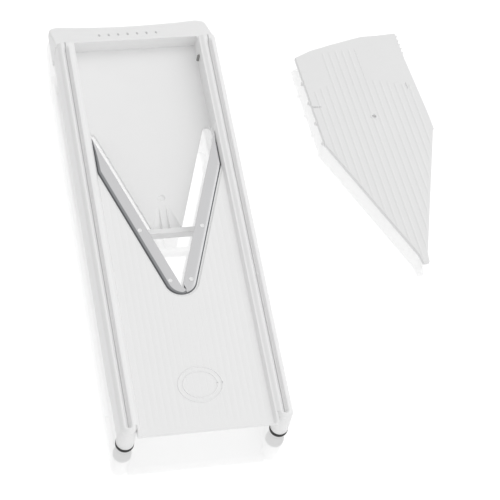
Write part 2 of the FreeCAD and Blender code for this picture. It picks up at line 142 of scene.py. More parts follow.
GRIP_HALF_WIDTH = 0.8
GRIP_HALF_LENGTH = 2.1
GRIP_Y = 184.6

TAN, COS, SIN = math.tan(HALF_ANGLE), math.cos(HALF_ANGLE), math.sin(HALF_ANGLE)
POCKET_CENTRE_Y = VERTEX_Y - (POCKET_OFFSET - POCKET_RADIUS) / SIN


# ---- materials ---------------------------------------------------------------------------------
def linear(hex_colour):
    """sRGB hex to the linear colour that shaders take."""
    channels = [int(hex_colour[i:i + 2], 16) / 255.0 for i in (1, 3, 5)]
    return [c / 12.92 if c <= 0.04045 else ((c + 0.055) / 1.055) ** 2.4 for c in channels] + [1.0]


def add_node(tree, kind, settings=None, links=None):
    """Adds a shader node, sets its properties and sockets, and links its inputs."""
    node = tree.nodes.new(kind)
    for name, value in (settings or {}).items():
        if name in node.inputs:
            node.inputs[name].default_value = value
        else:
            setattr(node, name, value)
    for name, source in (links or {}).items():
        tree.links.new(source, node.inputs[name])
    return node


def new_material(name):
    """An empty node tree under a new material."""
    material = bpy.data.materials.new(name)
    material.use_nodes = True
    material.node_tree.nodes.clear()
    return material, material.node_tree


def finish_material(tree, shader):
    """Links a shader to the material's surface."""
    output = add_node(tree, "ShaderNodeOutputMaterial")
    tree.links.new(shader.outputs[0], output.inputs["Surface"])


# Sizes of the surfaces' patterns.  The tool's grain, the grinding lines and the rubber's pebble are
# drawn several times coarser than the real ones, which would be too fine to show.
FLOW_WAVE = 28.0
GRAIN_DEPTH = 0.02
LINE_DEPTH = 0.01
PEBBLE_SIZE = 0.5
PEBBLE_DEPTH = 0.03


def moulded_abs(name, light, dark, roughness, grain_mm):
    """Injection-moulded ABS: satin gloss, a faint tool texture and slow waves of tone from flow."""
    material, tree = new_material(name)
    place = add_node(tree, "ShaderNodeTexCoord").outputs["Object"]
    flow = add_node(tree, "ShaderNodeTexNoise", {"Scale": 1.0 / (FLOW_WAVE * MM), "Detail": 2.0},
                    {"Vector": place})
    tone = add_node(tree, "ShaderNodeMix", {"data_type": "RGBA"}, {"Factor": flow.outputs["Fac"]})
    tone.inputs[6].default_value = linear(light)
    tone.inputs[7].default_value = linear(dark)
    grain = add_node(tree, "ShaderNodeTexNoise", {"Scale": 1.0 / (grain_mm * MM), "Detail": 3.0},
                     {"Vector": place})
    bump = add_node(tree, "ShaderNodeBump", {"Strength": 0.12, "Distance": GRAIN_DEPTH * MM},
                    {"Height": grain.outputs["Fac"]})
    gloss = add_node(tree, "ShaderNodeMapRange", {"To Min": roughness - 0.04, "To Max": roughness + 0.05},
                     {"Value": grain.outputs["Fac"]})
    shader = add_node(tree, "ShaderNodeBsdfPrincipled", {"IOR": 1.53},
                      {"Base Color": tone.outputs[2], "Roughness": gloss.outputs["Result"],
                       "Normal": bump.outputs["Normal"]})
    finish_material(tree, shader)
    return material


def ground_stainless(name, colour, roughness, line_mm, stretch):
    """Surface-ground stainless steel: fine lines along the blade scatter the light across them."""
    material, tree = new_material(name)
    place = add_node(tree, "ShaderNodeTexCoord").outputs["Object"]
    lines = add_node(tree, "ShaderNodeMapping", {"Scale": (1.0, stretch, 1.0)}, {"Vector": place})
    noise = add_node(tree, "ShaderNodeTexNoise", {"Scale": 1.0 / (line_mm * MM), "Detail": 4.0},
                     {"Vector": lines.outputs["Vector"]})
    gloss = add_node(tree, "ShaderNodeMapRange", {"To Min": roughness - 0.06, "To Max": roughness + 0.08},
                     {"Value": noise.outputs["Fac"]})
    bump = add_node(tree, "ShaderNodeBump", {"Strength": 0.15, "Distance": LINE_DEPTH * MM},
                    {"Height": noise.outputs["Fac"]})
    shader = add_node(tree, "ShaderNodeBsdfPrincipled",
                      {"Base Color": linear(colour), "Metallic": 1.0},
                      {"Roughness": gloss.outputs["Result"], "Normal": bump.outputs["Normal"]})
    finish_material(tree, shader)
    return material


def moulded_rubber(name, colour):
    """Moulded black rubber: matt, with a fine pebble from the tool."""
    material, tree = new_material(name)
    place = add_node(tree, "ShaderNodeTexCoord").outputs["Object"]
    pebble = add_node(tree, "ShaderNodeTexVoronoi", {"Scale": 1.0 / (PEBBLE_SIZE * MM)}, {"Vector": place})
    bump = add_node(tree, "ShaderNodeBump", {"Strength": 0.2, "Distance": PEBBLE_DEPTH * MM},
                    {"Height": pebble.outputs["Distance"]})
    shader = add_node(tree, "ShaderNodeBsdfPrincipled",
                      {"Base Color": linear(colour), "Roughness": 0.62, "IOR": 1.52},
                      {"Normal": bump.outputs["Normal"]})
    finish_material(tree, shader)
    return material


FRAME_ABS = moulded_abs("frame_moulded_abs", "#F2F2F2", "#EFEFEF", 0.34, 0.6)
INSERT_ABS = moulded_abs("insert_moulded_abs", "#EAEAEA", "#E7E7E7", 0.40, 0.6)
# painted shade: darker grey on the grip bars stands in for the shade inside the handle's engraved marks
GRIP_SHADE_ABS = moulded_abs("grip_bar_painted_shade_abs", "#CFCFCF", "#CACACA", 0.42, 0.6)
CATCH_ACETAL = moulded_abs("catch_moulded_acetal", "#8E8E8C", "#868684", 0.42, 0.5)
BLADE_STEEL = ground_stainless("blade_ground_stainless", "#BFBFC0", 0.34, 0.9, 0.12)
# painted shade: darker steel for the left blade's bevel, which faces away from the light
SHADED_BEVEL_STEEL = ground_stainless("blade_bevel_painted_shade_steel", "#8C8D8F", 0.36, 0.7, 0.12)
# painted shadow: dark steel on the strip outside each bevel, for the shadow in the gap between blade and
# pocket wall
GAP_SHADOW_STEEL = ground_stainless("blade_strip_painted_shadow_steel", "#6A6C6E", 0.46, 0.5, 0.12)
SPRING_STEEL = ground_stainless("spring_drawn_steel", "#9A9B9D", 0.30, 0.4, 1.0)
FOOT_RUBBER = moulded_rubber("foot_moulded_rubber", "#1C1C1C")


# ---- meshes ------------------------------------------------------------------------------------
def to_frame(points):
    """Millimetres about the slicer's centre to the frame's place in metres."""
    return (np.asarray(points, float).reshape(-1, 3) + CENTRE) * MM


MERGE_WITHIN = 0.002
NO_EDGE_UNDER = 0.0005


def grid_faces(rows, cols, start=0, flip=False):
    """Quads of a rows by cols grid of points; the normal is the column direction times the row's."""
    row = np.arange(rows - 1)[:, None]
    col = np.arange(cols - 1)[None, :]
    corner = start + row * cols + col
    quads = np.stack([corner, corner + 1, corner + cols + 1, corner + cols], axis=-1).reshape(-1, 4)
    return quads[:, ::-1] if flip else quads


def shell(top, bottom, window=None):
    """Closed solid between two grids of the same shape: both grids and a strip round their border.
    A window (first row, last row, first column, last column) goes through both grids."""
    rows, cols = top.shape[:2]
    count = rows * cols
    border = np.concatenate([
        np.arange(cols),
        np.arange(1, rows) * cols + cols - 1,
        (rows - 1) * cols + np.arange(cols - 2, -1, -1),
        np.arange(rows - 2, 0, -1) * cols,
    ])
    ahead = np.roll(border, -1)
    strip = np.stack([border, border + count, ahead + count, ahead], axis=1)
    skin = grid_faces(rows, cols)
    lining = grid_faces(rows, cols, count, flip=True)
    if window is not None:
        row0, row1, col0, col1 = window
        row, col = np.divmod(np.arange((rows - 1) * (cols - 1)), cols - 1)
        kept = ~((row >= row0) & (row < row1) & (col >= col0) & (col < col1))
        skin, lining = skin[kept], lining[kept]
        frame_of_window = np.concatenate([
            row0 * cols + np.arange(col0, col1),
            np.arange(row0, row1) * cols + col1,
            row1 * cols + np.arange(col1, col0, -1),
            np.arange(row1, row0, -1) * cols + col0,
        ])
        onward = np.roll(frame_of_window, -1)
        sill = np.stack([frame_of_window, onward, onward + count, frame_of_window + count], axis=1)
        strip = np.concatenate([strip, sill])
    return np.concatenate([top.reshape(-1, 3), bottom.reshape(-1, 3)]), np.concatenate([skin, lining, strip])


def joined(*solids):
    """Several (points, faces) pairs as one."""
    points, faces, start = [], [], 0
    for solid_points, solid_faces in solids:
        points.append(solid_points)
        faces.append(solid_faces + start)
        start += len(solid_points)
    return np.concatenate(points), np.concatenate(faces)


def mirrored(solid):
    """The solid on the other side of the centre line: x changes sign, each face turns round."""
    points, faces = solid
    return points * np.array([-1.0, 1.0, 1.0]), faces[:, ::-1]


def make_piece(name, solid, material, body, replaced=(), closed=True, sharp=32.0):
    """Puts a (points, faces) pair into the scene, merged, facing outwards and riding its body."""
    points, faces = solid
    mesh = bpy.data.meshes.new(name)
    mesh.from_pydata(to_frame(points).tolist(), [], faces.tolist())
    work = bmesh.new()
    work.from_mesh(mesh)
    bmesh.ops.remove_doubles(work, verts=work.verts, dist=MERGE_WITHIN * MM)
    bmesh.ops.dissolve_degenerate(work, edges=work.edges, dist=NO_EDGE_UNDER * MM)
    if closed:
        bmesh.ops.holes_fill(work, edges=[edge for edge in work.edges if edge.is_boundary], sides=0)
        bmesh.ops.recalc_face_normals(work, faces=work.faces)
    work.to_mesh(mesh)
    work.free()
    mesh.shade_smooth()
    mesh.set_sharp_from_angle(angle=math.radians(sharp))
    mesh.materials.append(material)
    thing = bpy.data.objects.new(name, mesh)
    bpy.context.scene.collection.objects.link(thing)
    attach(thing, body)
    if replaced:
        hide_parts(*replaced)
    return thing


def lathe(centre, profile, steps=48):
    """Closed turned solid: an (r, z) profile from pole to pole, swept round a vertical axis."""
    profile = np.asarray(profile, float)
    turn = np.linspace(0.0, 2.0 * math.pi, steps + 1)
    radius, height = profile[:, 0], profile[:, 1]
    x = centre[0] + radius[:, None] * np.cos(turn)
    y = centre[1] + radius[:, None] * np.sin(turn)
    points = np.stack([x, y, np.broadcast_to(height[:, None], x.shape)], axis=-1)
    return points.reshape(-1, 3), grid_faces(len(profile), steps + 1)


def rounded_corners(corners, radii, steps=5):
    """Polylines (n, corners, 2) with each inner corner replaced by a parabolic arc of that reach."""
    parts = [corners[:, :1]]
    share = np.linspace(0.0, 1.0, steps)[None, :, None]
    for index in range(1, corners.shape[1] - 1):
        corner = corners[:, index:index + 1]
        before = corners[:, index - 1:index] - corner
        after = corners[:, index + 1:index + 2] - corner
        length_before = np.linalg.norm(before, axis=-1, keepdims=True) + 1e-9
        length_after = np.linalg.norm(after, axis=-1, keepdims=True) + 1e-9
        reach = np.minimum(radii[index], 0.45 * np.minimum(length_before, length_after))
        start = corner + before / length_before * reach
        end = corner + after / length_after * reach
        parts.append((1 - share) ** 2 * start + 2 * share * (1 - share) * corner + share ** 2 * end)
    parts.append(corners[:, -1:])
    return np.concatenate(parts, axis=1)


def smooth_step(value, low, high):
    """From 0 at low to 1 at high along 3 t^2 - 2 t^3."""
    t = np.clip((value - low) / (high - low), 0.0, 1.0)
    return t * t * (3.0 - 2.0 * t)


def edge_roll(distance, radius):
    """Drop of a surface this far from its rounded edge: a quarter circle of that radius."""
    inside = np.clip(radius - distance, 0.0, radius)
    return radius - np.sqrt(radius ** 2 - inside ** 2)


def edge_steps(start, end, fine, coarse):
    """Samples from start to end: close together by both ends, coarse apart between them."""
    near = start + np.array(fine)
    far = end - np.array(fine)[::-1]
    count = max(2, int(round((far[0] - near[-1]) / coarse)))
    return np.concatenate([near[:-1], np.linspace(near[-1], far[0], count), far[1:]])


def edge_x(y, offset):
    """Distance from the centre line, at y, of the line this far outside a cutting edge."""
    return (y - VERTEX_Y) * TAN + offset / COS


def edge_y(x, offset):
    """The y at which that line is this far from the centre line."""
    return VERTEX_Y + (x - offset / COS) / TAN


# ---- rails -------------------------------------------------------------------------------------
# kinds of section: the outer side, round the near lip, the inner side along deck and bed
OUTER_SIDE, LIP, DECK_SIDE, BED_SIDE = range(4)
RAIL_END_SAMPLES = np.array([0.0, 0.1, 0.3, 0.6, 1.0, 1.6, 3.0, 4.0, 5.0, 6.0, 7.0, 9.0])
LIP_STEPS = 33
SECTION_GAP = 0.02
RAIL_END_ROLL = 0.9
TRACK_RUN_OUT = (3.5, 7.0)
SKIRT_BAND = 4.0
SKIRT_BULGE = (0.2, 0.3, 0.5)
LIP_DROPS = (0.5, 1.2, 2.0)
LIP_UNDERSIDE = (5.0, 5.2, 5.5, 5.7, 5.9)
RIDGE_UNDERSIDE = 3.0
LEDGE_SLOPE = ((0.6, 2.0), (1.1, 1.0))
LEDGE_BACK = 1.2
DECK_LANDING = (0.0, 0.8, 1.6)
BED_WALL_LEAN = 0.05
OUTSIDE_ROUNDING = [0.0, 0.35, 0.5, 0.75, 1.1, 0.6, 0.01, 0.01, 0.0]
UNDERSIDE_ROUNDING = [0.2] * 6 + [0.01] * 3
CATCH_TOP_CORNER = 6
WEB_SETBACK = 4.5
WEB_BOTTOM = 4.5
WEB_LANDING_LEAD = 6.0


def rail_path():
    """The rail's half section runs down the outer side, round the near lip and up the inner side.
    Each sample is its point on the track's centre line, its heading and its kind of section."""
    far = RAIL_FAR - RAIL_END_SAMPLES
    change = SLOT_END - DEEP_WALL_LEAD
    step = FOOT_Y + SKIRT_STEP_LENGTH
    along = np.concatenate([far, [CATCH_Y + CATCH_HALF, CATCH_Y - CATCH_HALF, change + SECTION_GAP,
                                  change - SECTION_GAP, step + SECTION_GAP, step - SECTION_GAP,
                                  FOOT_Y + SECTION_GAP]])
    turn = np.linspace(0.0, -math.pi, LIP_STEPS)
    heading = np.concatenate([np.zeros(len(along)), turn, np.full(len(along), -math.pi)])
    y = np.concatenate([along, np.full(len(turn), FOOT_Y), along[::-1]])
    kind = np.concatenate([np.full(len(along), OUTER_SIDE), np.full(len(turn), LIP),
                           np.full(len(along), DECK_SIDE)])
    kind = np.where((kind == DECK_SIDE) & (y > change), BED_SIDE, kind)
    return y, heading, kind


def rail_solid(windowed):
    """Outside and underside of the rail as two grids: half-section points by places on its path."""
    y, heading, kind = rail_path()
    count = len(y)
    from_far = RAIL_FAR - y
    top = RAIL_TOP - edge_roll(from_far, RAIL_END_ROLL)
    floor = top - TRACK_DEPTH * smooth_step(from_far, *TRACK_RUN_OUT)
    skirt_bottom = np.where(y < FOOT_Y + SKIRT_STEP_LENGTH, SKIRT_BOTTOM + SKIRT_STEP, SKIRT_BOTTOM)
    skirt_r = SKIRT_OUT - TRACK_X
    under = RAIL_TOP - TRACK_DEPTH - WALL
    bed_r = TRACK_X - BED_HALF
    deck_r = TRACK_X - DECK_HALF
    full = np.ones(count)
    middle = (top + skirt_bottom) / 2.0
    high, waist, low = SKIRT_BULGE
    skirt_in = SLOPE_OUT - WALL
    outside_tail = {
        OUTER_SIDE: [(SLOPE_OUT, top - RIDGE_DROP), (SLOPE_OUT + high, middle + SKIRT_BAND),
                     (SLOPE_OUT + waist, middle), (SLOPE_OUT + low, middle - SKIRT_BAND),
                     (skirt_r, skirt_bottom)],
        LIP: [(SLOPE_OUT, top - RIDGE_DROP), *[(SLOPE_OUT, top - RIDGE_DROP - drop) for drop in LIP_DROPS],
              (SLOPE_OUT, under)],
        DECK_SIDE: [(SLOPE_OUT, top - LEDGE_DROP), (LEDGE_OUT, top - LEDGE_DROP),
                    *[(LEDGE_OUT + out, DECK_TOP + up) for out, up in LEDGE_SLOPE], (deck_r, DECK_TOP)],
        BED_SIDE: [(SLOPE_OUT, top - LEDGE_DROP), (bed_r - BED_WALL_LEAN, top - LEDGE_DROP),
                   (bed_r, full * CATCH_HIGH), (bed_r, full * CATCH_LOW), (bed_r, BED_TOP)],
    }
    underside_tail = {
        OUTER_SIDE: [(skirt_in, under), (skirt_in + high, middle + SKIRT_BAND), (skirt_in + waist, middle),
                     (skirt_in + low, middle - SKIRT_BAND), (skirt_r - WALL, skirt_bottom)],
        LIP: [(r, under) for r in LIP_UNDERSIDE],
        DECK_SIDE: [(SLOPE_OUT - LEDGE_BACK, under),
                    *[(SLOPE_OUT + out, DECK_BOTTOM) for out in DECK_LANDING], (deck_r, DECK_BOTTOM)],
        BED_SIDE: [(bed_r - WALL, under), (bed_r - WALL, full * CATCH_HIGH),
                   (bed_r - WALL, full * CATCH_LOW), (bed_r - WALL, BED_BOTTOM), (bed_r, BED_BOTTOM)],
    }

    def corners(head, tails):
        """One row of (r, z) corners for each place on the path, its tail by the kind of section."""
        table = np.zeros((count, len(head) + len(tails[LIP]), 2))
        for index, (r, z) in enumerate(head):
            table[:, index, 0] = r
            table[:, index, 1] = z * full
        for which, tail in tails.items():
            rows = kind == which
            for index, (r, z) in enumerate(tail):
                table[rows, len(head) + index, 0] = r
                table[rows, len(head) + index, 1] = (z * full)[rows]
        return table

    outside_head = [(0.0, floor), (TRACK_FLOOR_HALF, floor), (TRACK_MOUTH_HALF, top), (RIDGE_OUT, top)]
    underside_head = [(0.0, under), (TRACK_FLOOR_HALF, under), (TRACK_MOUTH_HALF, under),
                      (RIDGE_UNDERSIDE, under)]
    outside = rounded_corners(corners(outside_head, outside_tail), OUTSIDE_ROUNDING)
    underside = rounded_corners(corners(underside_head, underside_tail), UNDERSIDE_ROUNDING)

    def swept(section):
        """The section's r is measured from the track's centre line, towards the heading."""
        r, z = section[..., 0], section[..., 1]
        x = TRACK_X + r * np.cos(heading)[:, None]
        place_y = y[:, None] + r * np.sin(heading)[:, None]
        return np.stack([x, place_y, z], axis=-1)

    window = None
    if windowed:
        elsewhere = RAIL_LENGTH * (kind != BED_SIDE)
        first = int(np.argmin(np.abs(y - CATCH_Y - CATCH_HALF) + elsewhere))
        last = int(np.argmin(np.abs(y - CATCH_Y + CATCH_HALF) + elsewhere))
        steps = (outside.shape[1] - 2) // (len(OUTSIDE_ROUNDING) - 2)
        column = steps * CATCH_TOP_CORNER
        window = (min(first, last), max(first, last), column, column + 1)
    return shell(swept(outside), swept(underside), window)


NEAR_LEDGE_SAMPLES = [0.0, 0.15, 0.4, 0.8]
NEAR_LEDGE_SPACING = 2.0
NEAR_LEDGE_LAP = 0.4
NEAR_LEDGE_ROUND = 0.3
NEAR_LEDGE_DROPS = (0.12, 0.6)
NEAR_LEDGE_FOOT = 0.5
TOUCH = 0.05
SINK = 0.02


def near_ledge_solid():
    """Short run of ledge and sloping wall between the near lip and the deck's near corner."""
    y = edge_steps(DECK_NEAR, FOOT_Y + TOUCH, NEAR_LEDGE_SAMPLES, NEAR_LEDGE_SPACING)
    back_x = TRACK_X - SLOPE_OUT
    front_x = TRACK_X - LEDGE_OUT
    x = np.array([back_x + NEAR_LEDGE_LAP, back_x, front_x + NEAR_LEDGE_ROUND, front_x,
                  front_x - NEAR_LEDGE_ROUND, DECK_HALF + NEAR_LEDGE_ROUND, DECK_HALF])
    ledge_z = RAIL_TOP - LEDGE_DROP
    z = np.array([ledge_z, ledge_z, ledge_z, ledge_z - NEAR_LEDGE_DROPS[0], ledge_z - NEAR_LEDGE_DROPS[1],
                  DECK_TOP + NEAR_LEDGE_FOOT, DECK_TOP])
    drop = edge_roll(y - DECK_NEAR, ledge_z - DECK_TOP)
    height = np.maximum(z[None, ::-1] - drop[:, None], DECK_TOP)
    top = np.stack(np.broadcast_arrays(x[None, ::-1], y[:, None], height), axis=-1)
    bottom = top.copy()
    bottom[..., 2] = DECK_BOTTOM
    return shell(top, bottom)


def web_landing_solid():
    """Inner wall of the rail under the deck, where the wall under the blade lands on it."""
    web_meets = edge_y(BED_HALF, WEB_SETBACK + WALL)
    y = np.array([web_meets - WEB_LANDING_LEAD, SLOT_END - DEEP_WALL_LEAD + TOUCH])
    x = np.array([BED_HALF, BED_HALF + WALL])
    top = np.stack(np.broadcast_arrays(x[None, :], y[:, None], np.array([[DECK_BOTTOM + SINK]])), axis=-1)
    bottom = top.copy()
    bottom[..., 2] = WEB_BOTTOM
    return shell(top, bottom)


def make_rails():
    """Both rails; only the right one has the catch's window in its inner wall."""
    near = [near_ledge_solid(), web_landing_solid()]
    make_piece("rail_right", joined(rail_solid(True), *near), FRAME_ABS, "frame",
               ["frame_rail_right"])
    make_piece("rail_left", mirrored(joined(rail_solid(False), *near)), FRAME_ABS, "frame",
               ["frame_rail_left"])


# ---- slide deck --------------------------------------------------------------------------------
DECK_GROOVE_PITCH = 4.8
DECK_GROOVE_HALF = 0.45
DECK_GROOVE_DEPTH = 0.07
DECK_GROOVES = 9
GROOVE_SAMPLES = np.array([-1.0, -0.5, 0.0, 0.5, 1.0])
GROOVE_START = (4.0, 8.0)
GROOVE_END = (0.8, 2.5)
DECK_SIDE_MARGIN = 0.3
DECK_EDGE_SAMPLES = np.array([0.0, 0.12, 0.35, 0.7, 1.2, 2.0, 3.5, 6.0])
DECK_ROWS = 30
DECK_NEAR_ROLL = 0.6
POCKET_ROLL = 0.35
POCKET_COLUMNS = 49
ARC_STEPS = 19
RUN_STEPS = 12
RISE_STEPS = 9
TIP_BLEND_FROM = 0.55
RING_CENTRE = (0.0, -132.0)
# half length across, half length along, width and height of each oval ridge on the deck
OUTER_RING = (16.2, 14.0, 1.0, 0.45)
INNER_RING = (12.6, 10.4, 0.9, 0.40)
RIDGE_FOOT = 0.3
RIDGE_STEPS = 97
RIDGE_SECTION_STEPS = 7


def deck_columns():
    """Column places across the deck: five across each moulded groove, one between grooves,
    and close together over the pocket's round end."""
    across = GROOVE_SAMPLES * DECK_GROOVE_HALF
    grooves = np.arange(-DECK_GROOVES, DECK_GROOVES + 1) * DECK_GROOVE_PITCH
    between = (np.arange(-DECK_GROOVES - 1, DECK_GROOVES + 1) + 0.5) * DECK_GROOVE_PITCH
    rounding = np.linspace(-POCKET_RADIUS * COS, POCKET_RADIUS * COS, POCKET_COLUMNS)
    columns = np.concatenate([(grooves[:, None] + across).ravel(), between, rounding])
    columns = np.unique(np.round(columns[np.abs(columns) < DECK_HALF - DECK_SIDE_MARGIN], 3))
    return np.concatenate([[-DECK_HALF], columns, [DECK_HALF]])


def groove_depth(x):
    """Moulded grooves: shallow cosine troughs at an even pitch across the deck."""
    offset = np.abs((x + DECK_GROOVE_PITCH / 2.0) % DECK_GROOVE_PITCH - DECK_GROOVE_PITCH / 2.0)
    trough = 0.5 + 0.5 * np.cos(np.pi * np.clip(offset / DECK_GROOVE_HALF, 0.0, 1.0))
    return DECK_GROOVE_DEPTH * trough


def pocket_y(x, offset):
    """Near boundary of a V this far outside the cutting edges, with its rounded end, at x."""
    radius = POCKET_RADIUS - (POCKET_OFFSET - offset)
    x = np.abs(x)
    on_arc = np.clip(radius ** 2 - x ** 2, 0.0, None)
    return np.where(x < radius * COS, POCKET_CENTRE_Y - np.sqrt(on_arc), edge_y(x, offset))


def deck_solid():
    """Deck plate: columns run along the slicer from the near edge to the pocket's rounded V."""
    x = deck_columns()
    far = pocket_y(x, POCKET_OFFSET)
    fine = DECK_EDGE_SAMPLES
    inner = np.linspace(0.0, 1.0, DECK_ROWS)[1:-1]
    from_near = np.concatenate([np.broadcast_to(fine[:, None], (len(fine), len(x))),
                                fine[-1] + inner[:, None] * (far - DECK_NEAR - 2.0 * fine[-1])[None, :],
                                (far - DECK_NEAR)[None, :] - fine[::-1, None]])
    from_far = (far - DECK_NEAR)[None, :] - from_near
    fade = smooth_step(from_near, *GROOVE_START) * smooth_step(from_far * SIN, *GROOVE_END)
    roll_far = edge_roll(from_far * np.where(np.abs(x) < POCKET_RADIUS * COS, 1.0, SIN), POCKET_ROLL)
    z = DECK_TOP - groove_depth(x)[None, :] * fade - edge_roll(from_near, DECK_NEAR_ROLL) - roll_far
    top = np.stack(np.broadcast_arrays(x[None, :], DECK_NEAR + from_near, z), axis=-1)
    bottom = top.copy()
    bottom[..., 2] = DECK_BOTTOM
    return shell(top, bottom)


def v_cross_lines(inner, outer, limit, start_inner, start_outer):
    """Matching points on the inner and outer line of one arm of a V, from its end to the rail.
    inner and outer are offsets from the cutting edge; the outer line turns up at x = limit."""
    radius = POCKET_RADIUS - (POCKET_OFFSET - outer)
    arc = np.linspace(0.0, 1.0, ARC_STEPS)
    start_angle = math.asin(min(1.0, start_outer / radius))
    swing = start_angle + arc * (math.pi / 2.0 - HALF_ANGLE - start_angle)
    outer_arc = np.stack([radius * np.sin(swing), POCKET_CENTRE_Y - radius * np.cos(swing)], axis=1)
    corner_y = edge_y(limit, outer)
    run = np.linspace(outer_arc[-1, 1], corner_y, RUN_STEPS)[1:]
    outer_run = np.stack([edge_x(run, outer), run], axis=1)
    tip_y = edge_y(limit, inner)
    rise = np.linspace(corner_y, tip_y, RISE_STEPS)[1:]
    outer_rise = np.stack([np.full(len(rise), limit), rise], axis=1)
    outer_line = np.concatenate([outer_arc, outer_run, outer_rise])
    inner_radius = POCKET_RADIUS - (POCKET_OFFSET - inner)
    if start_inner is None:
        inner_arc = np.stack([inner_radius * np.sin(swing),
                              POCKET_CENTRE_Y - inner_radius * np.cos(swing)], axis=1)
    else:
        start_y = edge_y(start_inner, inner)
        inner_arc_y = start_y + arc * (edge_foot(outer_arc[-1:], inner)[0] - start_y)
        inner_arc = np.stack([edge_x(inner_arc_y, inner), inner_arc_y], axis=1)
    reach = inner_arc[-1, 1]
    share = np.linspace(0.0, 1.0, len(outer_run) + len(outer_rise) + 1)[1:]
    foot = np.clip(edge_foot(outer_line[len(outer_arc):], inner), reach, tip_y)
    blend = smooth_step(share, TIP_BLEND_FROM, 1.0)
    inner_y = np.maximum.accumulate(foot * (1 - blend) + blend * (reach + share * (tip_y - reach)))
    inner_run = np.stack([edge_x(inner_y, inner), inner_y], axis=1)
    return np.concatenate([inner_arc, inner_run]), outer_line


def edge_foot(points, offset):
    """The y of the foot of the perpendicular from each point to the line at this offset."""
    along = (points[:, 0] - offset / COS) * SIN + (points[:, 1] - VERTEX_Y) * COS
    return VERTEX_Y + along * COS


def pocket_floor_solid(side):
    """Ledge under one blade: a flat band along the V, from the opening to the pocket's wall."""
    inner, outer = v_cross_lines(POCKET_LEDGE, POCKET_OFFSET, DECK_HALF, None, 0.0)
    share = np.linspace(0.0, 1.0, 3)[:, None, None]
    band = inner[None] * (1 - share) + outer[None] * share
    top = np.concatenate([band, np.full(band.shape[:2] + (1,), BLADE_FLOOR)], axis=-1)
    bottom = top.copy()
    bottom[..., 2] = DECK_BOTTOM
    solid = shell(top, bottom)
    return solid if side > 0 else mirrored(solid)


def oval_ridge(centre, half_x, half_y, width, height):
    """Raised oval: a half-round ridge of that width swept along an ellipse, closed underneath."""
    turn = np.linspace(0.0, 2.0 * math.pi, RIDGE_STEPS)
    around = np.linspace(0.0, math.pi, RIDGE_SECTION_STEPS)
    out = np.cos(around) * width / 2.0
    up = np.sin(around) * height
    x = centre[0] + (half_x + out[:, None]) * np.cos(turn)
    y = centre[1] + (half_y + out[:, None]) * np.sin(turn)
    z = np.broadcast_to(DECK_TOP - SINK + up[:, None], x.shape)
    top = np.stack([x, y, z], axis=-1)
    bottom = top.copy()
    bottom[..., 2] = DECK_TOP - RIDGE_FOOT
    return shell(top, bottom)


def make_deck():
    """Deck with its blade ledges, and two oval ridges on it."""
    solid = joined(deck_solid(), pocket_floor_solid(1), pocket_floor_solid(-1))
    make_piece("slide_deck", solid, FRAME_ABS, "frame", ["frame_slide_deck"])
    ring = joined(oval_ridge(RING_CENTRE, *OUTER_RING), oval_ridge(RING_CENTRE, *INNER_RING))
    make_piece("deck_ring", ring, FRAME_ABS, "frame")


# ---- insert bed and tongue ---------------------------------------------------------------------
RECESS_Y = 34.0
RECESS_X = 0.4
RECESS_RADIUS = 2.6
RECESS_DEPTH = 0.7
RECESS_EDGE = 0.6
LIP_HEIGHT = 0.18
LIP_OFFSET = 0.5
LIP_WIDTH = 0.45
SCOOP_LEAD = 5.0
SCOOP_HALF_WIDTH = 3.5
SCOOP_WIDENING = 7.5
SCOOP_DEPTH = 3.6
SCOOP_CURVE = 1.3
RIB_X = 2.6
RIB_HALF = 0.7
RIB_SPLAY = 0.4
RIB_CREST = 0.45
RIB_LEAD = 3.4
RIB_RISE = 1.2
RIB_SHARE = 0.92
SLOT_ARCH_LEAD = 3.5
BED_EDGE_SAMPLES = np.array([0.0, 0.15, 0.4, 0.8, 1.4])
BED_SIDE_SAMPLES = [0.0, 0.25, 0.5]
BED_COLUMN = 0.5
BED_ROWS = 238
BED_FIRST_ROW = 0.6
BED_ROLL = 0.5


def tongue_shape(x, y):
    """Round recess, the scoop that falls away towards the crossbar, and the two ribs over it."""
    to_recess = np.hypot(x - RECESS_X, y - RECESS_Y)
    recess = -RECESS_DEPTH * (1.0 - smooth_step(to_recess, RECESS_RADIUS - RECESS_EDGE, RECESS_RADIUS))
    lip = LIP_HEIGHT * np.exp(-((to_recess - RECESS_RADIUS - LIP_OFFSET) / LIP_WIDTH) ** 2)
    scoop_start = RECESS_Y - SCOOP_LEAD
    depth = np.clip((scoop_start - y) / (scoop_start - CROSSBAR_BACK), 0.0, 1.0)
    half = SCOOP_HALF_WIDTH + SCOOP_WIDENING * depth
    bowl = np.clip(1.0 - (x / half) ** 2, 0.0, 1.0)
    scoop = -SCOOP_DEPTH * depth ** SCOOP_CURVE * np.sqrt(bowl)
    ribs = np.zeros_like(x)
    for centre in (-RIB_X, RIB_X):
        offset = np.abs(x - centre - RIB_SPLAY * np.sign(centre) * depth)
        ribs = np.maximum(ribs, 1.0 - smooth_step(offset, RIB_HALF * RIB_CREST, RIB_HALF))
    ribs = ribs * smooth_step(RECESS_Y - RIB_LEAD - y, 0.0, RIB_RISE)
    return recess + lip + scoop * (1.0 - RIB_SHARE * ribs)


def slot_near_y(x):
    """Near boundary of the bed: the tongue's blunt end, its slanted side, the slot's round end."""
    x = np.abs(x)
    blunt = edge_x(CROSSBAR_BACK, -SLOT_WIDTH)
    radius = (BED_HALF - edge_x(SLOT_END - SLOT_ARCH_LEAD, -SLOT_WIDTH)) / 2.0
    centre_x = BED_HALF - radius
    centre_y = SLOT_END - radius
    side = np.where(x < blunt, CROSSBAR_BACK, edge_y(x, -SLOT_WIDTH))
    arch = centre_y + np.sqrt(np.clip(radius ** 2 - (x - centre_x) ** 2, 0.0, None))
    return np.where(x > centre_x - radius, np.minimum(arch, SLOT_END), side)


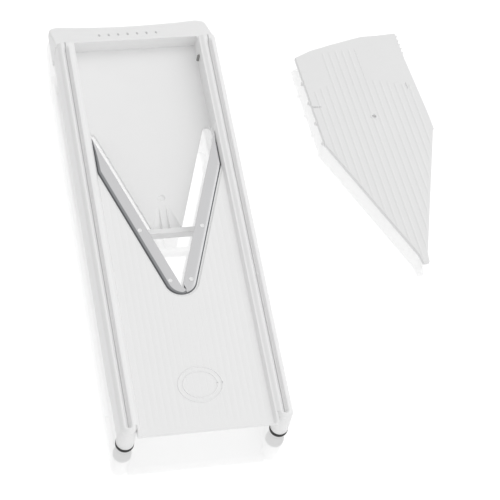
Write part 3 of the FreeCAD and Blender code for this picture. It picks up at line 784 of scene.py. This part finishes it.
def bed_solid():
    """Bed and tongue: columns run from the slots to the far wall; the rest of the bed is plain."""
    half = edge_steps(0.0, BED_HALF, BED_SIDE_SAMPLES, BED_COLUMN)
    x = np.concatenate([-half[:0:-1], half])
    near = slot_near_y(x)
    fine = BED_EDGE_SAMPLES
    inner = np.linspace(0.0, 1.0, BED_ROWS)
    length = BED_FAR - near
    first = fine[-1] + BED_FIRST_ROW
    from_near = np.concatenate([np.broadcast_to(fine[:, None], (len(fine), len(x))),
                                first + inner[:, None] * (length - fine[-1] - BED_FIRST_ROW)[None, :]])
    y = near[None, :] + from_near
    grid_x = np.broadcast_to(x[None, :], y.shape)
    slant = np.where(np.abs(grid_x) > edge_x(CROSSBAR_BACK, -SLOT_WIDTH), SIN, 1.0)
    shape = tongue_shape(grid_x, y)
    rim = edge_roll(from_near * slant, BED_ROLL)
    top = np.stack([grid_x, y, BED_TOP + shape - rim], axis=-1)
    bottom = top.copy()
    bottom[..., 2] = BED_BOTTOM + np.minimum(tongue_shape(grid_x, y), 0.0)
    return shell(top, bottom)


def make_bed():
    """The bed and its tongue are one piece."""
    make_piece("insert_bed", bed_solid(), FRAME_ABS, "frame", ["frame_insert_bed"])


# ---- handle ------------------------------------------------------------------------------------
HANDLE_SLOPE = (HANDLE_TOP - HANDLE_EDGE) / (HANDLE_FAR - RAIL_FAR)
HANDLE_ROLL = 1.6
HANDLE_LINING_ROLL = 0.4
HANDLE_SIDE_SAMPLES = np.array([0.0, 0.06, 0.25, 0.6, 1.1, 1.7, 2.6, 4.0, 6.0, 8.5, 11.0])
HANDLE_END_SAMPLES = np.array([0.0, 0.06, 0.25, 0.6, 1.1, 1.7])
HANDLE_COLUMNS = 26
HANDLE_ROWS = 24
HANDLE_NEAR_ROLL = 0.5
HANDLE_SHORTEST = 4.0
COLUMN_SPLIT = 0.01
COLUMN_APART = 0.05
LINING_DROP = 1.22
ROUND_LIMIT = 0.6
LEAST_HEIGHT = 0.4


def handle_height(y):
    """A straight slope down from the rails' end to the handle's far edge."""
    return HANDLE_TOP - HANDLE_SLOPE * (y - RAIL_FAR)


def handle_far_y(x, inset):
    """Far outline: a shallow hollow arc between two round corners."""
    reach = SKIRT_OUT - inset
    radius = HANDLE_CORNER - inset / 2.0
    flat = reach - radius
    hollow = HANDLE_HOLLOW * (1.0 - np.clip(np.abs(x) / flat, 0.0, 1.0) ** 2)
    over = np.clip(np.abs(x) - flat, 0.0, radius)
    return HANDLE_FAR - inset - hollow - radius + np.sqrt(np.clip(radius ** 2 - over ** 2, 0.0, None))


def handle_skin(inset):
    """Skin of the handle: end wall of the bed, sloping top with rounded edges, sides and far wall."""
    reach = SKIRT_OUT - inset
    roll = HANDLE_ROLL if inset == 0.0 else HANDLE_LINING_ROLL
    outer = reach - HANDLE_SIDE_SAMPLES
    middle = np.linspace(0.0, BED_HALF + COLUMN_SPLIT, HANDLE_COLUMNS)
    outer = outer[outer > BED_HALF + COLUMN_APART]
    half = np.unique(np.round(np.concatenate([middle, [BED_HALF - COLUMN_SPLIT], outer]), 4))
    x = np.concatenate([-half[:0:-1], half])
    near = np.where(np.abs(x) < BED_HALF, BED_FAR, RAIL_FAR) + inset
    far = handle_far_y(x, inset)
    fine = HANDLE_END_SAMPLES
    inner = np.linspace(0.0, 1.0, HANDLE_ROWS)[1:-1]
    length = np.maximum(far - near, HANDLE_SHORTEST)
    from_near = np.concatenate([np.broadcast_to(fine[:, None], (len(fine), len(x))),
                                fine[-1] + inner[:, None] * (length - 2 * fine[-1])[None, :],
                                length[None, :] - fine[::-1, None]])
    y = near[None, :] + from_near
    from_far = length[None, :] - from_near
    side = np.broadcast_to((reach - np.abs(x))[None, :], y.shape)
    nearest = np.minimum(np.hypot(np.clip(roll - side, 0, None), np.clip(roll - from_far, 0, None)), roll)
    round_off = roll - np.sqrt(roll ** 2 - nearest ** 2)
    near_roll = edge_roll(from_near, HANDLE_NEAR_ROLL) * (np.abs(x) < BED_HALF)
    height = handle_height(y)
    z = height - inset * LINING_DROP - np.minimum(round_off, height * ROUND_LIMIT) - near_roll
    z = np.maximum(z, LEAST_HEIGHT)
    return np.stack([np.broadcast_to(x[None, :], y.shape), y, z], axis=-1)


def ringed(top, near_floor, floor, lean=0.0):
    """Adds the walls: a copy of the border rows and columns let down to the floor.  The wall along
    the first row leans, its foot this far out."""
    first = top[:1].copy()
    first[..., 1] -= lean
    first[..., 2] = near_floor
    last = top[-1:].copy()
    last[..., 2] = floor
    tall = np.concatenate([first, top, last])
    left = tall[:, :1].copy()
    left[..., 2] = floor
    right = tall[:, -1:].copy()
    right[..., 2] = floor
    return np.concatenate([left, tall, right], axis=1)


def handle_solid():
    """Hollow handle, open underneath: its skin and a lining one wall inside it."""
    outer = handle_skin(0.0)
    inner = handle_skin(WALL)
    over_bed = np.abs(outer[0, :, 0]) < BED_HALF
    lining_over_bed = np.abs(inner[0, :, 0]) < BED_HALF
    lean = END_WALL_LEAN * over_bed
    skin = ringed(outer, np.where(over_bed, BED_BOTTOM, 0.0), 0.0, lean)
    lining = ringed(inner, np.where(lining_over_bed, BED_BOTTOM, 0.0), 0.0, lean)
    return shell(skin, lining)


GRIP_STEPS = 25
GRIP_LEVELS = np.array([-0.5, 0.35, 0.55, 0.6, 0.6])
GRIP_SIZES = np.array([1.0, 1.0, 0.85, 0.5, 0.0])


def grip_bars():
    """Row of short raised bars across the grip, lying on its slope."""
    solids = []
    turn = np.linspace(0.0, 2.0 * math.pi, GRIP_STEPS)
    size = GRIP_SIZES[:, None]
    for index in range(GRIP_BARS):
        x = GRIP_FIRST_X + index * GRIP_PITCH
        grid_x = x + size * GRIP_HALF_WIDTH * np.cos(turn)
        grid_y = GRIP_Y + size * GRIP_HALF_LENGTH * np.sin(turn)
        grid_z = handle_height(grid_y) + GRIP_LEVELS[:, None]
        top = np.stack([grid_x, grid_y, grid_z], axis=-1)
        base = top[:1].copy()
        base[..., 0], base[..., 1] = x, GRIP_Y
        grid = np.concatenate([base, top])
        solids.append((grid.reshape(-1, 3), grid_faces(*grid.shape[:2])))
    return joined(*solids)


def make_handle():
    """The handle and the row of grip bars on it."""
    make_piece("handle", handle_solid(), FRAME_ABS, "frame", ["frame_handle"])
    # grip bars in the painted-shade grey
    make_piece("handle_grip_bars", grip_bars(), GRIP_SHADE_ABS, "frame")


# ---- feet --------------------------------------------------------------------------------------
STUB_RADIUS = 4.6
STUB_BOTTOM = 0.8
CAP_PLAY = 0.05
CAP_GAP = 0.02


def make_feet():
    """Turned posts under the rails' near lips, each with a stub that fills its rubber cap."""
    post = [(0.0, POST_TOP), (SLOPE_OUT - 0.1, POST_TOP), (SLOPE_OUT + 0.05, POST_TOP - 0.4),
            (SLOPE_OUT + 0.15, POST_TOP - 1.4), (POST_RADIUS - 0.15, 18.0), (POST_RADIUS, CAP_TOP + 0.5),
            (POST_RADIUS - 0.2, CAP_TOP + 0.05), (STUB_RADIUS, CAP_TOP), (STUB_RADIUS, STUB_BOTTOM),
            (0.0, STUB_BOTTOM)]
    bore = STUB_RADIUS - CAP_PLAY
    cap = [(0.0, STUB_BOTTOM - CAP_GAP), (bore, STUB_BOTTOM - CAP_GAP), (bore, CAP_TOP - CAP_GAP),
           (CAP_RADIUS - 0.5, CAP_TOP - CAP_GAP), (CAP_RADIUS - 0.12, CAP_TOP - 0.15),
           (CAP_RADIUS, CAP_TOP - 0.5), (CAP_RADIUS, 0.9), (CAP_RADIUS - 0.15, 0.45),
           (CAP_RADIUS - 0.6, 0.1), (CAP_RADIUS - 1.2, 0.0), (0.0, 0.0)]
    for side, name in ((-1, "left"), (1, "right")):
        centre = (side * TRACK_X, FOOT_Y)
        make_piece("foot_post_" + name, lathe(centre, post), FRAME_ABS, "frame",
                   ["frame_foot_" + name])
        make_piece("rubber_cap_" + name, lathe(centre, cap), FOOT_RUBBER, "frame",
                   ["foot_cap_" + name])


# ---- blades ------------------------------------------------------------------------------------
SEAM_INNER = 1.35
SEAM_OUTER = 3.05
SEAM_GAP = 0.35
SEAM_STEP = 0.5
SEAM_KINK = (0.44, 0.56)
BEVEL_EDGE = 0.02
BEVEL_EDGE_DROP = 0.04
GROUND_EDGE = 0.01
GROUND_DROPS = (0.36, 0.44)
INNER_EDGE_SHARE = 0.012
BEVEL_NORMAL = (0.3, 0.998)
STRIP_DROP = 0.40
PIN_STEPS = 28
PIN_FOOT = DECK_BOTTOM + 0.4
# (radius, height over the blade's top) of the dished head
PIN_DISH = ((0.0, 0.03), (0.6, 0.04), (1.0, 0.10), (1.3, 0.26), (PIN_RADIUS, 0.30),
            (PIN_RADIUS + 0.12, 0.26), (PIN_RADIUS + 0.16, -0.04))


def blade_solid(side):
    """One blade: its section (a flat top with a fine inner edge, the bevel, the steeper ground strip,
    the outer side, the underside and the grind under the cutting edge) is carried along its arm from
    the stepped seam to the tip; each corner is a share of the way from the inner to the outer line."""
    limit = DECK_HALF - BLADE_SIDE_GAP
    start_inner, start_outer = (SEAM_INNER, SEAM_OUTER) if side > 0 else (0.0, 0.0)
    inner, outer = v_cross_lines(0.0, BLADE_WIDTH, limit, start_inner, start_outer)
    if side < 0:
        over_x = SEAM_INNER - SEAM_GAP
        outer_x = SEAM_OUTER - SEAM_GAP
        radius = POCKET_RADIUS - (POCKET_OFFSET - BLADE_WIDTH)
        over = np.array([[-over_x, edge_y(over_x, 0.0)]])
        over_outer = np.array([[-outer_x, POCKET_CENTRE_Y - math.sqrt(radius ** 2 - outer_x ** 2)]])
        inner = np.concatenate([over, inner])
        outer = np.concatenate([over_outer, outer])
    bevel = 1.0 - BLADE_BEVEL / BLADE_WIDTH
    grind = EDGE_GRIND / BLADE_WIDTH
    section = [(0.0, BLADE_TOP - BEVEL_EDGE_DROP), (INNER_EDGE_SHARE, BLADE_TOP), (0.25, BLADE_TOP),
               (SEAM_KINK[0], BLADE_TOP), (SEAM_KINK[1], BLADE_TOP), (bevel - BEVEL_EDGE, BLADE_TOP),
               (bevel + BEVEL_EDGE, BLADE_TOP - BEVEL_EDGE_DROP),
               (BLADE_GROUND - GROUND_EDGE, BLADE_TOP - GROUND_DROPS[0]),
               (BLADE_GROUND + GROUND_EDGE, BLADE_TOP - GROUND_DROPS[1]),
               (1.0, BLADE_TOP - BLADE_BEVEL_DROP), (1.0, BLADE_FLOOR), (grind, BLADE_FLOOR),
               (0.0, BLADE_TOP - EDGE_LIP)]
    share, height = np.array(section).T
    lines = inner[None] * (1 - share[:, None, None]) + outer[None] * share[:, None, None]
    lines[:, 0, 0] -= side * SEAM_STEP * ((share == SEAM_KINK[0]) * 1.0 - (share == SEAM_KINK[1]))
    points = np.concatenate([lines, np.broadcast_to(height[:, None, None], lines.shape[:2] + (1,))], axis=-1)
    loop = np.concatenate([points, points[:1]])
    solid = (loop.reshape(-1, 3), grid_faces(*loop.shape[:2]))
    return solid if side > 0 else mirrored(solid)


def make_blades():
    """Blades with their pins.  The bevel and the strip outside it get darker steels, both painted light: the
    left blade's bevel is darker steel as painted shade, since it faces away from the light, and the strip on
    both blades is painted shadow of the gap."""
    profile = [(r, BLADE_TOP + up) for r, up in PIN_DISH] + [(PIN_RADIUS, PIN_FOOT), (0.0, PIN_FOOT)]
    for side, name in ((-1, "left"), (1, "right")):
        thing = make_piece("steel_blade_" + name, blade_solid(side), BLADE_STEEL, "frame",
                           ["blade_" + name], sharp=12.0)
        thing.data.materials.append(SHADED_BEVEL_STEEL)
        thing.data.materials.append(GAP_SHADOW_STEEL)
        for polygon in thing.data.polygons:
            height = polygon.center.z / MM
            slanted = BEVEL_NORMAL[0] < polygon.normal.z < BEVEL_NORMAL[1]
            if slanted and height > BLADE_TOP - BLADE_BEVEL_DROP:
                # the left blade's bevel takes the painted-shade steel, the strip on both blades the
                # painted-shadow steel
                shaded_bevel_slot = 1 if side < 0 else 0
                polygon.material_index = 2 if height < BLADE_TOP - STRIP_DROP else shaded_bevel_slot
        for place, y in PIN_PLACES:
            centre = (side * edge_x(y, PIN_OFFSET), y)
            make_piece("pin_%s_%s" % (name, place), lathe(centre, profile, PIN_STEPS), FRAME_ABS, "frame",
                       ["blade_pin_%s_%s" % (name, place)])


# ---- catch spring ------------------------------------------------------------------------------
SPRING_TURNS = 5
SPRING_WIRE = 0.35
SPRING_STEPS = 28
WIRE_STEPS = 11


def make_spring():
    """Coil: a wire of round section carried along a helix about the plunger's axis."""
    low, high = about_centre("catch_spring")
    middle = (low + high) / 2.0
    radius = (high[2] - low[2]) / 2.0 - SPRING_WIRE
    turn = np.linspace(0.0, 2.0 * math.pi * SPRING_TURNS, SPRING_TURNS * SPRING_STEPS + 1)
    around = np.linspace(0.0, 2.0 * math.pi, WIRE_STEPS)
    along = np.linspace(low[0] + SPRING_WIRE, high[0] - SPRING_WIRE, len(turn))
    reach = radius + SPRING_WIRE * np.cos(around)[None, :]
    x = along[:, None] + SPRING_WIRE * np.sin(around)[None, :]
    y = middle[1] + reach * np.cos(turn)[:, None]
    z = middle[2] + reach * np.sin(turn)[:, None]
    grid = np.stack([x, y, z], axis=-1)
    coil = make_piece("catch_coil", (grid.reshape(-1, 3), grid_faces(*grid.shape[:2])), SPRING_STEEL,
                      "frame", ["catch_spring"], sharp=60.0)
    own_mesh(coil)


# ---- thickness insert --------------------------------------------------------------------------
INSERT_TURN = math.radians(5.5)
SKIRT_FLARE = 0.7
INSERT_TIP_FROM_WALL = 134.8
INSERT_TIP = np.array([SKIRT_OUT - SKIRT_FLARE + INSERT_TIP_FROM_WALL, -36.0])
INSERT_LEFT = 47.2
INSERT_RIGHT = 45.0
INSERT_SHOULDER = 116.93
INSERT_TOP = 5.0
INSERT_RIM = 1.2
INSERT_TOOTHED = 3.0
INSERT_SLOPE = 125.9
INSERT_SLOPE_RUN = 63.9
INSERT_CORNER_Y = 211.8
INSERT_FAR = np.array([[-47.2, 202.0], [-33.0, 206.6], [-16.0, 209.4], [3.0, 212.0], [13.0, 213.2],
                       [26.0, 212.2], [42.0, INSERT_CORNER_Y]])
INSERT_SHEET = 2.2
INSERT_RIM_WIDTH = 1.8
INSERT_HALF_TIP = 4.0
INSERT_TIP_START = 9.0
INSERT_TIP_FLAT = 2.4
INSERT_TIP_CURVE = 0.8
INSERT_SHOULDER_STEP = 0.6
INSERT_EDGE_SAMPLES = np.array([0.0, 0.08, 0.25, 0.55, 1.0])
INSERT_COLUMNS = 232
INSERT_COLUMN_LEAD = 1.3
INSERT_ROWS = 188
INSERT_SKIN_DROP = 0.42
INSERT_ROLL = 0.6
V_EDGE_SHARE = 0.38
V_INSET_SHARE = 2.8
LINING_SHORTEST = 0.5
# ribs of the sheet, and the arcs on its plain corner
RIB_PITCH = 5.6
RIB_SHIFT = 1.4
RIB_FLANK = (0.3, 1.05)
RIB_HEIGHT = 0.32
CHEVRON_X = -11.0
CHEVRON_HALF = 15.0
CHEVRON_Y = 203.0
CHEVRON_STEP = 30.0
CHEVRON_SLOPE = 0.35
RIB_FADE = 1.5
RIB_END = (3.0, 6.0)
RIB_SIDE_LEFT = 1.5
RIB_SIDE_RIGHT = 2.5
ARC_CENTRE = (26.0, 224.0)
ARC_PITCH = 4.6
ARC_HEIGHT = 0.07
ARCS_FROM_X, ARCS_TO_X = (10.0, 13.0), (36.0, 39.0)
ARCS_FROM_Y, ARCS_TO_Y = (176.0, 178.0), (200.0, 202.0)
# hole, its eyelet and the two slits
DISH_Y = 136.5
DISH_DEPTH = 1.6
DISH_EDGE = (1.7, 2.4)
EYELET_Y = 136.4
EYELET = np.array([[1.6, 3.0], [3.1, 3.0], [3.1, 4.60], [2.8, 4.84], [2.4, 4.97], [1.95, 4.92], [1.65, 4.7],
                   [1.6, 4.4], [1.6, 3.0]])
SLIT_DEPTH = 0.7
SLIT_EDGE = (0.2, 0.5)
SIDE_SLIT_Y = 152.2
SIDE_SLIT_SLOPE = 0.2
SIDE_SLIT_X = 40.0
SIDE_SLIT_END = 39.7
SHORT_SLIT_X = 35.4
SHORT_SLIT_Y = 160.5
SHORT_SLIT_HALF = 2.6
# nubs and teeth
NUB_COUNT = 4
NUB_LEAD = 3.7
NUB_PITCH = 19.19
NUB_PROUD = 0.1
INNER_NUB_INSET = 8.6
NUB = [(0.0, 3.9), (1.2, 3.9), (1.5, 3.6), (1.5, 0.4), (1.2, 0.08), (0.8, 0.0), (0.0, 0.0)]
TOOTH_COUNT = 5
TOOTH_PITCH = 4.2
TOOTHED_LENGTH = 21.0
TOOTH_ROOT = 0.6
TOOTH_OUTLINE = np.array([[0.0, 0.0], [1.3, 0.6], [1.95, 1.5], [1.8, 1.85], [0.0, 2.2]])
TOOTH_LEVELS = np.array([INSERT_RIM, INSERT_RIM + 0.2, INSERT_TOP - 0.9, INSERT_TOP - 0.55])
TOOTH_SQUEEZE = np.array([0.94, 1.0, 1.0, 0.9])


def insert_place(points):
    """From the insert's own frame, tip at the origin, to its place on the table."""
    turned = points.copy()
    turned[..., 0] = points[..., 0] * math.cos(INSERT_TURN) - points[..., 1] * math.sin(INSERT_TURN)
    turned[..., 1] = points[..., 0] * math.sin(INSERT_TURN) + points[..., 1] * math.cos(INSERT_TURN)
    turned[..., :2] += INSERT_TIP
    return turned


def insert_near_y(x):
    """The insert's V and blunt tip, seen from above: near boundary at each x."""
    reach = np.abs(x)
    tip = INSERT_TIP_START * smooth_step(reach, INSERT_TIP_FLAT, INSERT_HALF_TIP) ** INSERT_TIP_CURVE
    rise = INSERT_SHOULDER - INSERT_TIP_START
    foot = INSERT_HALF_TIP + INSERT_SHOULDER_STEP
    left = INSERT_TIP_START + (reach - INSERT_HALF_TIP) * rise / (INSERT_LEFT - foot)
    right = INSERT_TIP_START + (reach - INSERT_HALF_TIP) * rise / (INSERT_RIGHT - foot)
    return np.where(reach < INSERT_HALF_TIP, tip, np.where(x < 0, left, right))


def insert_relief(x, y):
    """Ribs along the insert, starting in a chevron, and faint arcs on its plain corner."""
    index = np.round((x + RIB_SHIFT) / RIB_PITCH)
    offset = np.abs(x + RIB_SHIFT - index * RIB_PITCH)
    rib = 1.0 - smooth_step(offset, *RIB_FLANK)
    aside = np.abs(x - CHEVRON_X)
    far = np.where(aside < CHEVRON_HALF, CHEVRON_Y,
                   CHEVRON_Y - CHEVRON_STEP - CHEVRON_SLOPE * np.abs(aside - CHEVRON_HALF))
    start = 1.0 - smooth_step(y, far - RIB_FADE, far)
    end = smooth_step(y - insert_near_y(x), *RIB_END)
    side = (smooth_step(INSERT_LEFT - RIB_SIDE_LEFT + x, 0.0, RIB_FADE)
            * smooth_step(INSERT_RIGHT - RIB_SIDE_RIGHT - x, 0.0, RIB_FADE))
    reach = np.hypot(x - ARC_CENTRE[0], y - ARC_CENTRE[1])
    arcs = 0.5 + 0.5 * np.cos(2.0 * math.pi * reach / ARC_PITCH)
    window = smooth_step(x, *ARCS_FROM_X) * (1.0 - smooth_step(x, *ARCS_TO_X))
    window = window * smooth_step(y, *ARCS_FROM_Y) * (1.0 - smooth_step(y, *ARCS_TO_Y))
    return RIB_HEIGHT * rib * start * end * side + ARC_HEIGHT * arcs * window


def insert_far_y(x, inset):
    """Far boundary at each x, set in by inset: the curved edge, and the same cut by the slope that
    the toothed stretch follows."""
    far = np.interp(x, INSERT_FAR[:, 0], INSERT_FAR[:, 1]) - inset
    slope = INSERT_SLOPE + (INSERT_RIGHT - inset - x) / INSERT_TOOTHED * INSERT_SLOPE_RUN
    return far, np.minimum(far, slope)


def insert_skin():
    """Insert's sheet and its rim: columns from the V to the curved far edge, sides let down."""
    fine = INSERT_EDGE_SAMPLES
    across = np.linspace(-INSERT_LEFT + INSERT_COLUMN_LEAD, INSERT_RIGHT - INSERT_COLUMN_LEAD,
                         INSERT_COLUMNS)
    x = np.concatenate([-INSERT_LEFT + fine, across[1:-1], INSERT_RIGHT - fine[::-1]])
    near = np.minimum(insert_near_y(x), INSERT_SHOULDER)
    far, toothed_far = insert_far_y(x, 0.0)
    far = np.where(x > INSERT_RIGHT - INSERT_TOOTHED, toothed_far, far)
    length = far - near
    inner = np.linspace(0.0, 1.0, INSERT_ROWS)[1:-1]
    from_near = np.concatenate([np.broadcast_to(fine[:, None], (len(fine), len(x))),
                                fine[-1] + inner[:, None] * (length - 2.0 * fine[-1])[None, :],
                                length[None, :] - fine[::-1, None]])
    y = near[None, :] + from_near
    from_far = length[None, :] - from_near
    grid_x = np.broadcast_to(x[None, :], y.shape)
    side = np.minimum(grid_x + INSERT_LEFT, INSERT_RIGHT - grid_x)
    edge = np.minimum(np.minimum(from_near * V_EDGE_SHARE, from_far), side)
    hole = np.hypot(grid_x, y - DISH_Y)
    dish = -DISH_DEPTH * (1.0 - smooth_step(hole, *DISH_EDGE))
    from_side_slit = np.abs(y - SIDE_SLIT_Y + SIDE_SLIT_SLOPE * (grid_x + SIDE_SLIT_X))
    slit = SLIT_DEPTH * (1.0 - smooth_step(from_side_slit, *SLIT_EDGE)) * (grid_x < -SIDE_SLIT_END)
    short = (SLIT_DEPTH * (1.0 - smooth_step(np.abs(grid_x - SHORT_SLIT_X), *SLIT_EDGE))
             * (np.abs(y - SHORT_SLIT_Y) < SHORT_SLIT_HALF))
    z = (INSERT_TOP - INSERT_SKIN_DROP + insert_relief(grid_x, y) + dish - slit - short
         - edge_roll(edge, INSERT_ROLL))
    top = np.stack([grid_x, y, z], axis=-1)
    return ringed(top, INSERT_RIM, INSERT_RIM)


def insert_lining(skin):
    """Underside that follows the skin at the sheet's thickness, inside the rim."""
    inset = INSERT_RIM_WIDTH
    lining = skin.copy()
    lining[..., 2] = INSERT_TOP - INSERT_SHEET
    x = np.clip(lining[..., 0], -INSERT_LEFT + inset, INSERT_RIGHT - inset)
    low = np.minimum(insert_near_y(x), INSERT_SHOULDER) + inset * V_INSET_SHARE
    high, toothed_high = insert_far_y(x, inset)
    high = np.where(x > INSERT_RIGHT - INSERT_TOOTHED - inset, toothed_high, high)
    lining[..., 0] = x
    lining[..., 1] = np.clip(lining[..., 1], low, np.maximum(high, low + LINING_SHORTEST))
    lining[0, :, 2] = INSERT_RIM
    lining[-1, :, 2] = INSERT_RIM
    lining[:, 0, 2] = INSERT_RIM
    lining[:, -1, 2] = INSERT_RIM
    return lining


def insert_tooth(corner):
    """One ratchet tooth: its outline at four heights, drawn in a little at top and bottom."""
    outline = corner + TOOTH_OUTLINE
    middle = outline.mean(axis=0)
    ring = np.concatenate([outline, outline[:1]])
    rows = middle + (ring[None] - middle) * TOOTH_SQUEEZE[:, None, None]
    levels = np.broadcast_to(TOOTH_LEVELS[:, None, None], rows.shape[:2] + (1,))
    grid = np.concatenate([rows, levels], axis=-1)
    low = np.broadcast_to(np.append(middle, TOOTH_LEVELS[0]), grid[:1].shape)
    high = np.broadcast_to(np.append(middle, TOOTH_LEVELS[-1]), grid[:1].shape)
    grid = np.concatenate([low, grid, high])
    return grid.reshape(-1, 3), grid_faces(*grid.shape[:2])


def insert_extras():
    """Turned nubs under both sides, the eyelet round the hole and the row of teeth."""
    solids = []
    for x in (-NUB_PROUD - INSERT_LEFT, INSERT_RIGHT - INNER_NUB_INSET):
        for index in range(NUB_COUNT):
            y = INSERT_SHOULDER + NUB_LEAD + index * NUB_PITCH
            solids.append(lathe((x, y), NUB, steps=20))
    solids.append(lathe((0.0, EYELET_Y), EYELET, steps=32))
    for index in range(TOOTH_COUNT):
        y = INSERT_CORNER_Y - TOOTHED_LENGTH + index * TOOTH_PITCH
        x = INSERT_RIGHT - INSERT_TOOTHED - TOOTH_ROOT
        solids.append(insert_tooth(np.array([x, y])))
    return joined(*solids)


def make_insert():
    """The ribbed sheet with its rim, and the small parts on it, both in the insert's own finish."""
    skin = insert_skin()
    solid = shell(insert_place(skin), insert_place(insert_lining(skin)))
    make_piece("ribbed_insert", solid, INSERT_ABS, "insert", ["thickness_insert"])
    points, faces = insert_extras()
    make_piece("insert_nubs_and_teeth", (insert_place(points), faces), INSERT_ABS, "insert")


# ---- carried-over CAD nodes --------------------------------------------------------------------
def dress_cad_nodes():
    """CAD nodes whose shape is already right get their material."""
    plan = {
        FRAME_ABS: ["frame_crossbar", "frame_blade_web_left", "frame_blade_web_right"],
        CATCH_ACETAL: ["catch_housing", "thickness_catch"],
    }
    for material, nodes in plan.items():
        for node in nodes:
            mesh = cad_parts[node].data
            mesh.materials.clear()
            mesh.materials.append(material)


# ---- stage, light and camera -------------------------------------------------------------------
REFLECTING_DEPTH = 6.6
TABLE_GLOW = 1.06
TABLE_MIRROR = 0.38
TABLE_ROUGHNESS = 0.12
TOP_ROUGHNESS = 0.05
TOP_GAP = 0.05
ACRYLIC_IOR = 1.49
SHEET_HALF = 3000.0
WORLD_STRENGTH = 0.65
# name, place and size in metres, and power in watts; each faces the slicer
SOFTBOXES = (("softbox_right", (1.3, 0.35, 0.9), (1.2, 1.4), 4.0),
             ("softbox_near", (0.1, -1.5, 0.7), (1.6, 1.0), 4.5),
             ("softbox_far", (0.45, 0.95, 1.70), (2.4, 2.4), 10.0))
CAMERA_TURN = (-25.155, 58.288, 17.199)
CAMERA_DISTANCE = 1595.225
CAMERA_TARGET = np.array([59.355, -18.709, 15.0])
CAMERA_LENS = 152.598
SENSOR_WIDTH = 36.0


def one_sided(tree, shader):
    """Seen from behind the sheet is clear, so the underside of what stands on it can be seen."""
    clear = add_node(tree, "ShaderNodeBsdfTransparent")
    facing = add_node(tree, "ShaderNodeNewGeometry")
    mix = add_node(tree, "ShaderNodeMixShader", {}, {"Fac": facing.outputs["Backfacing"]})
    tree.links.new(shader.outputs[0], mix.inputs[1])
    tree.links.new(clear.outputs[0], mix.inputs[2])
    return mix


def add_sheet(name, height, material):
    """A wide flat square at that height, for the stage only."""
    corners = SHEET_HALF * np.array([[-1.0, -1.0], [1.0, -1.0], [1.0, 1.0], [-1.0, 1.0]])
    points = np.concatenate([corners, np.full((4, 1), height)], axis=1)
    mesh = bpy.data.meshes.new(name)
    mesh.from_pydata(to_frame(points).tolist(), [], [(0, 1, 2, 3)])
    mesh.materials.append(material)
    sheet = bpy.data.objects.new(name, mesh)
    bpy.context.scene.collection.objects.link(sheet)


def make_stage():
    """White table under a clear sheet: the sheet's top face, which the feet stand on, and the
    bright white face below it, which mirrors a part of what is above it."""
    white = (1.0, 1.0, 1.0, 1.0)
    material, tree = new_material("table_white_gloss_face")
    glow = add_node(tree, "ShaderNodeEmission", {"Color": white, "Strength": TABLE_GLOW})
    mirror = add_node(tree, "ShaderNodeBsdfGlossy", {"Color": white, "Roughness": TABLE_ROUGHNESS})
    mix = add_node(tree, "ShaderNodeMixShader", {"Fac": TABLE_MIRROR})
    tree.links.new(glow.outputs[0], mix.inputs[1])
    tree.links.new(mirror.outputs[0], mix.inputs[2])
    finish_material(tree, one_sided(tree, mix))
    add_sheet("table", -REFLECTING_DEPTH, material)

    material, tree = new_material("table_clear_acrylic_top")
    clear = add_node(tree, "ShaderNodeBsdfTransparent")
    shine = add_node(tree, "ShaderNodeBsdfGlossy", {"Color": white, "Roughness": TOP_ROUGHNESS})
    edge_on = add_node(tree, "ShaderNodeFresnel", {"IOR": ACRYLIC_IOR})
    mix = add_node(tree, "ShaderNodeMixShader", {}, {"Fac": edge_on.outputs[0]})
    tree.links.new(clear.outputs[0], mix.inputs[1])
    tree.links.new(shine.outputs[0], mix.inputs[2])
    finish_material(tree, one_sided(tree, mix))
    add_sheet("table_top", -TOP_GAP, material)


def add_softbox(name, place, size, power):
    """A rectangular area light that faces the origin."""
    light = bpy.data.lights.new(name, "AREA")
    light.shape = "RECTANGLE"
    light.size, light.size_y = size
    light.energy = power
    lamp = bpy.data.objects.new(name, light)
    bpy.context.scene.collection.objects.link(lamp)
    lamp.location = place
    lamp.rotation_mode = "QUATERNION"
    lamp.rotation_quaternion = (-Vector(place)).to_track_quat("-Z", "Y")


def make_light():
    """A white room and three soft boxes: right, near and high over the far end."""
    world = bpy.data.worlds.new("studio")
    world.use_nodes = True
    world.node_tree.nodes["Background"].inputs["Color"].default_value = (1.0, 1.0, 1.0, 1.0)
    world.node_tree.nodes["Background"].inputs["Strength"].default_value = WORLD_STRENGTH
    bpy.context.scene.world = world
    for name, place, size, power in SOFTBOXES:
        add_softbox(name, place, size, power)
    bpy.context.scene.view_settings.view_transform = "Standard"


def make_camera():
    """Long lens above the near right corner, turned a little about its own line of sight."""
    azimuth, elevation, roll = (math.radians(a) for a in CAMERA_TURN)
    back = np.array([math.sin(azimuth) * math.cos(elevation), -math.cos(azimuth) * math.cos(elevation),
                     math.sin(elevation)])
    right = np.cross(-back, [0.0, 0.0, 1.0])
    right /= np.linalg.norm(right)
    up = np.cross(right, -back)
    rolled_right = math.cos(roll) * right + math.sin(roll) * up
    rolled_up = -math.sin(roll) * right + math.cos(roll) * up
    place = to_frame(CAMERA_TARGET + back * CAMERA_DISTANCE)[0]
    data = bpy.data.cameras.new("camera")
    data.sensor_width = SENSOR_WIDTH
    data.lens = CAMERA_LENS
    data.clip_end = 20.0
    camera = bpy.data.objects.new("camera", data)
    bpy.context.scene.collection.objects.link(camera)
    columns = np.stack([rolled_right, rolled_up, back, place], axis=1)
    camera.matrix_world = Matrix([list(row) for row in columns] + [[0.0, 0.0, 0.0, 1.0]])
    bpy.context.scene.camera = camera


make_rails()
make_deck()
make_bed()
make_handle()
make_feet()
make_blades()
make_spring()
make_insert()
dress_cad_nodes()
make_stage()
make_light()
make_camera()
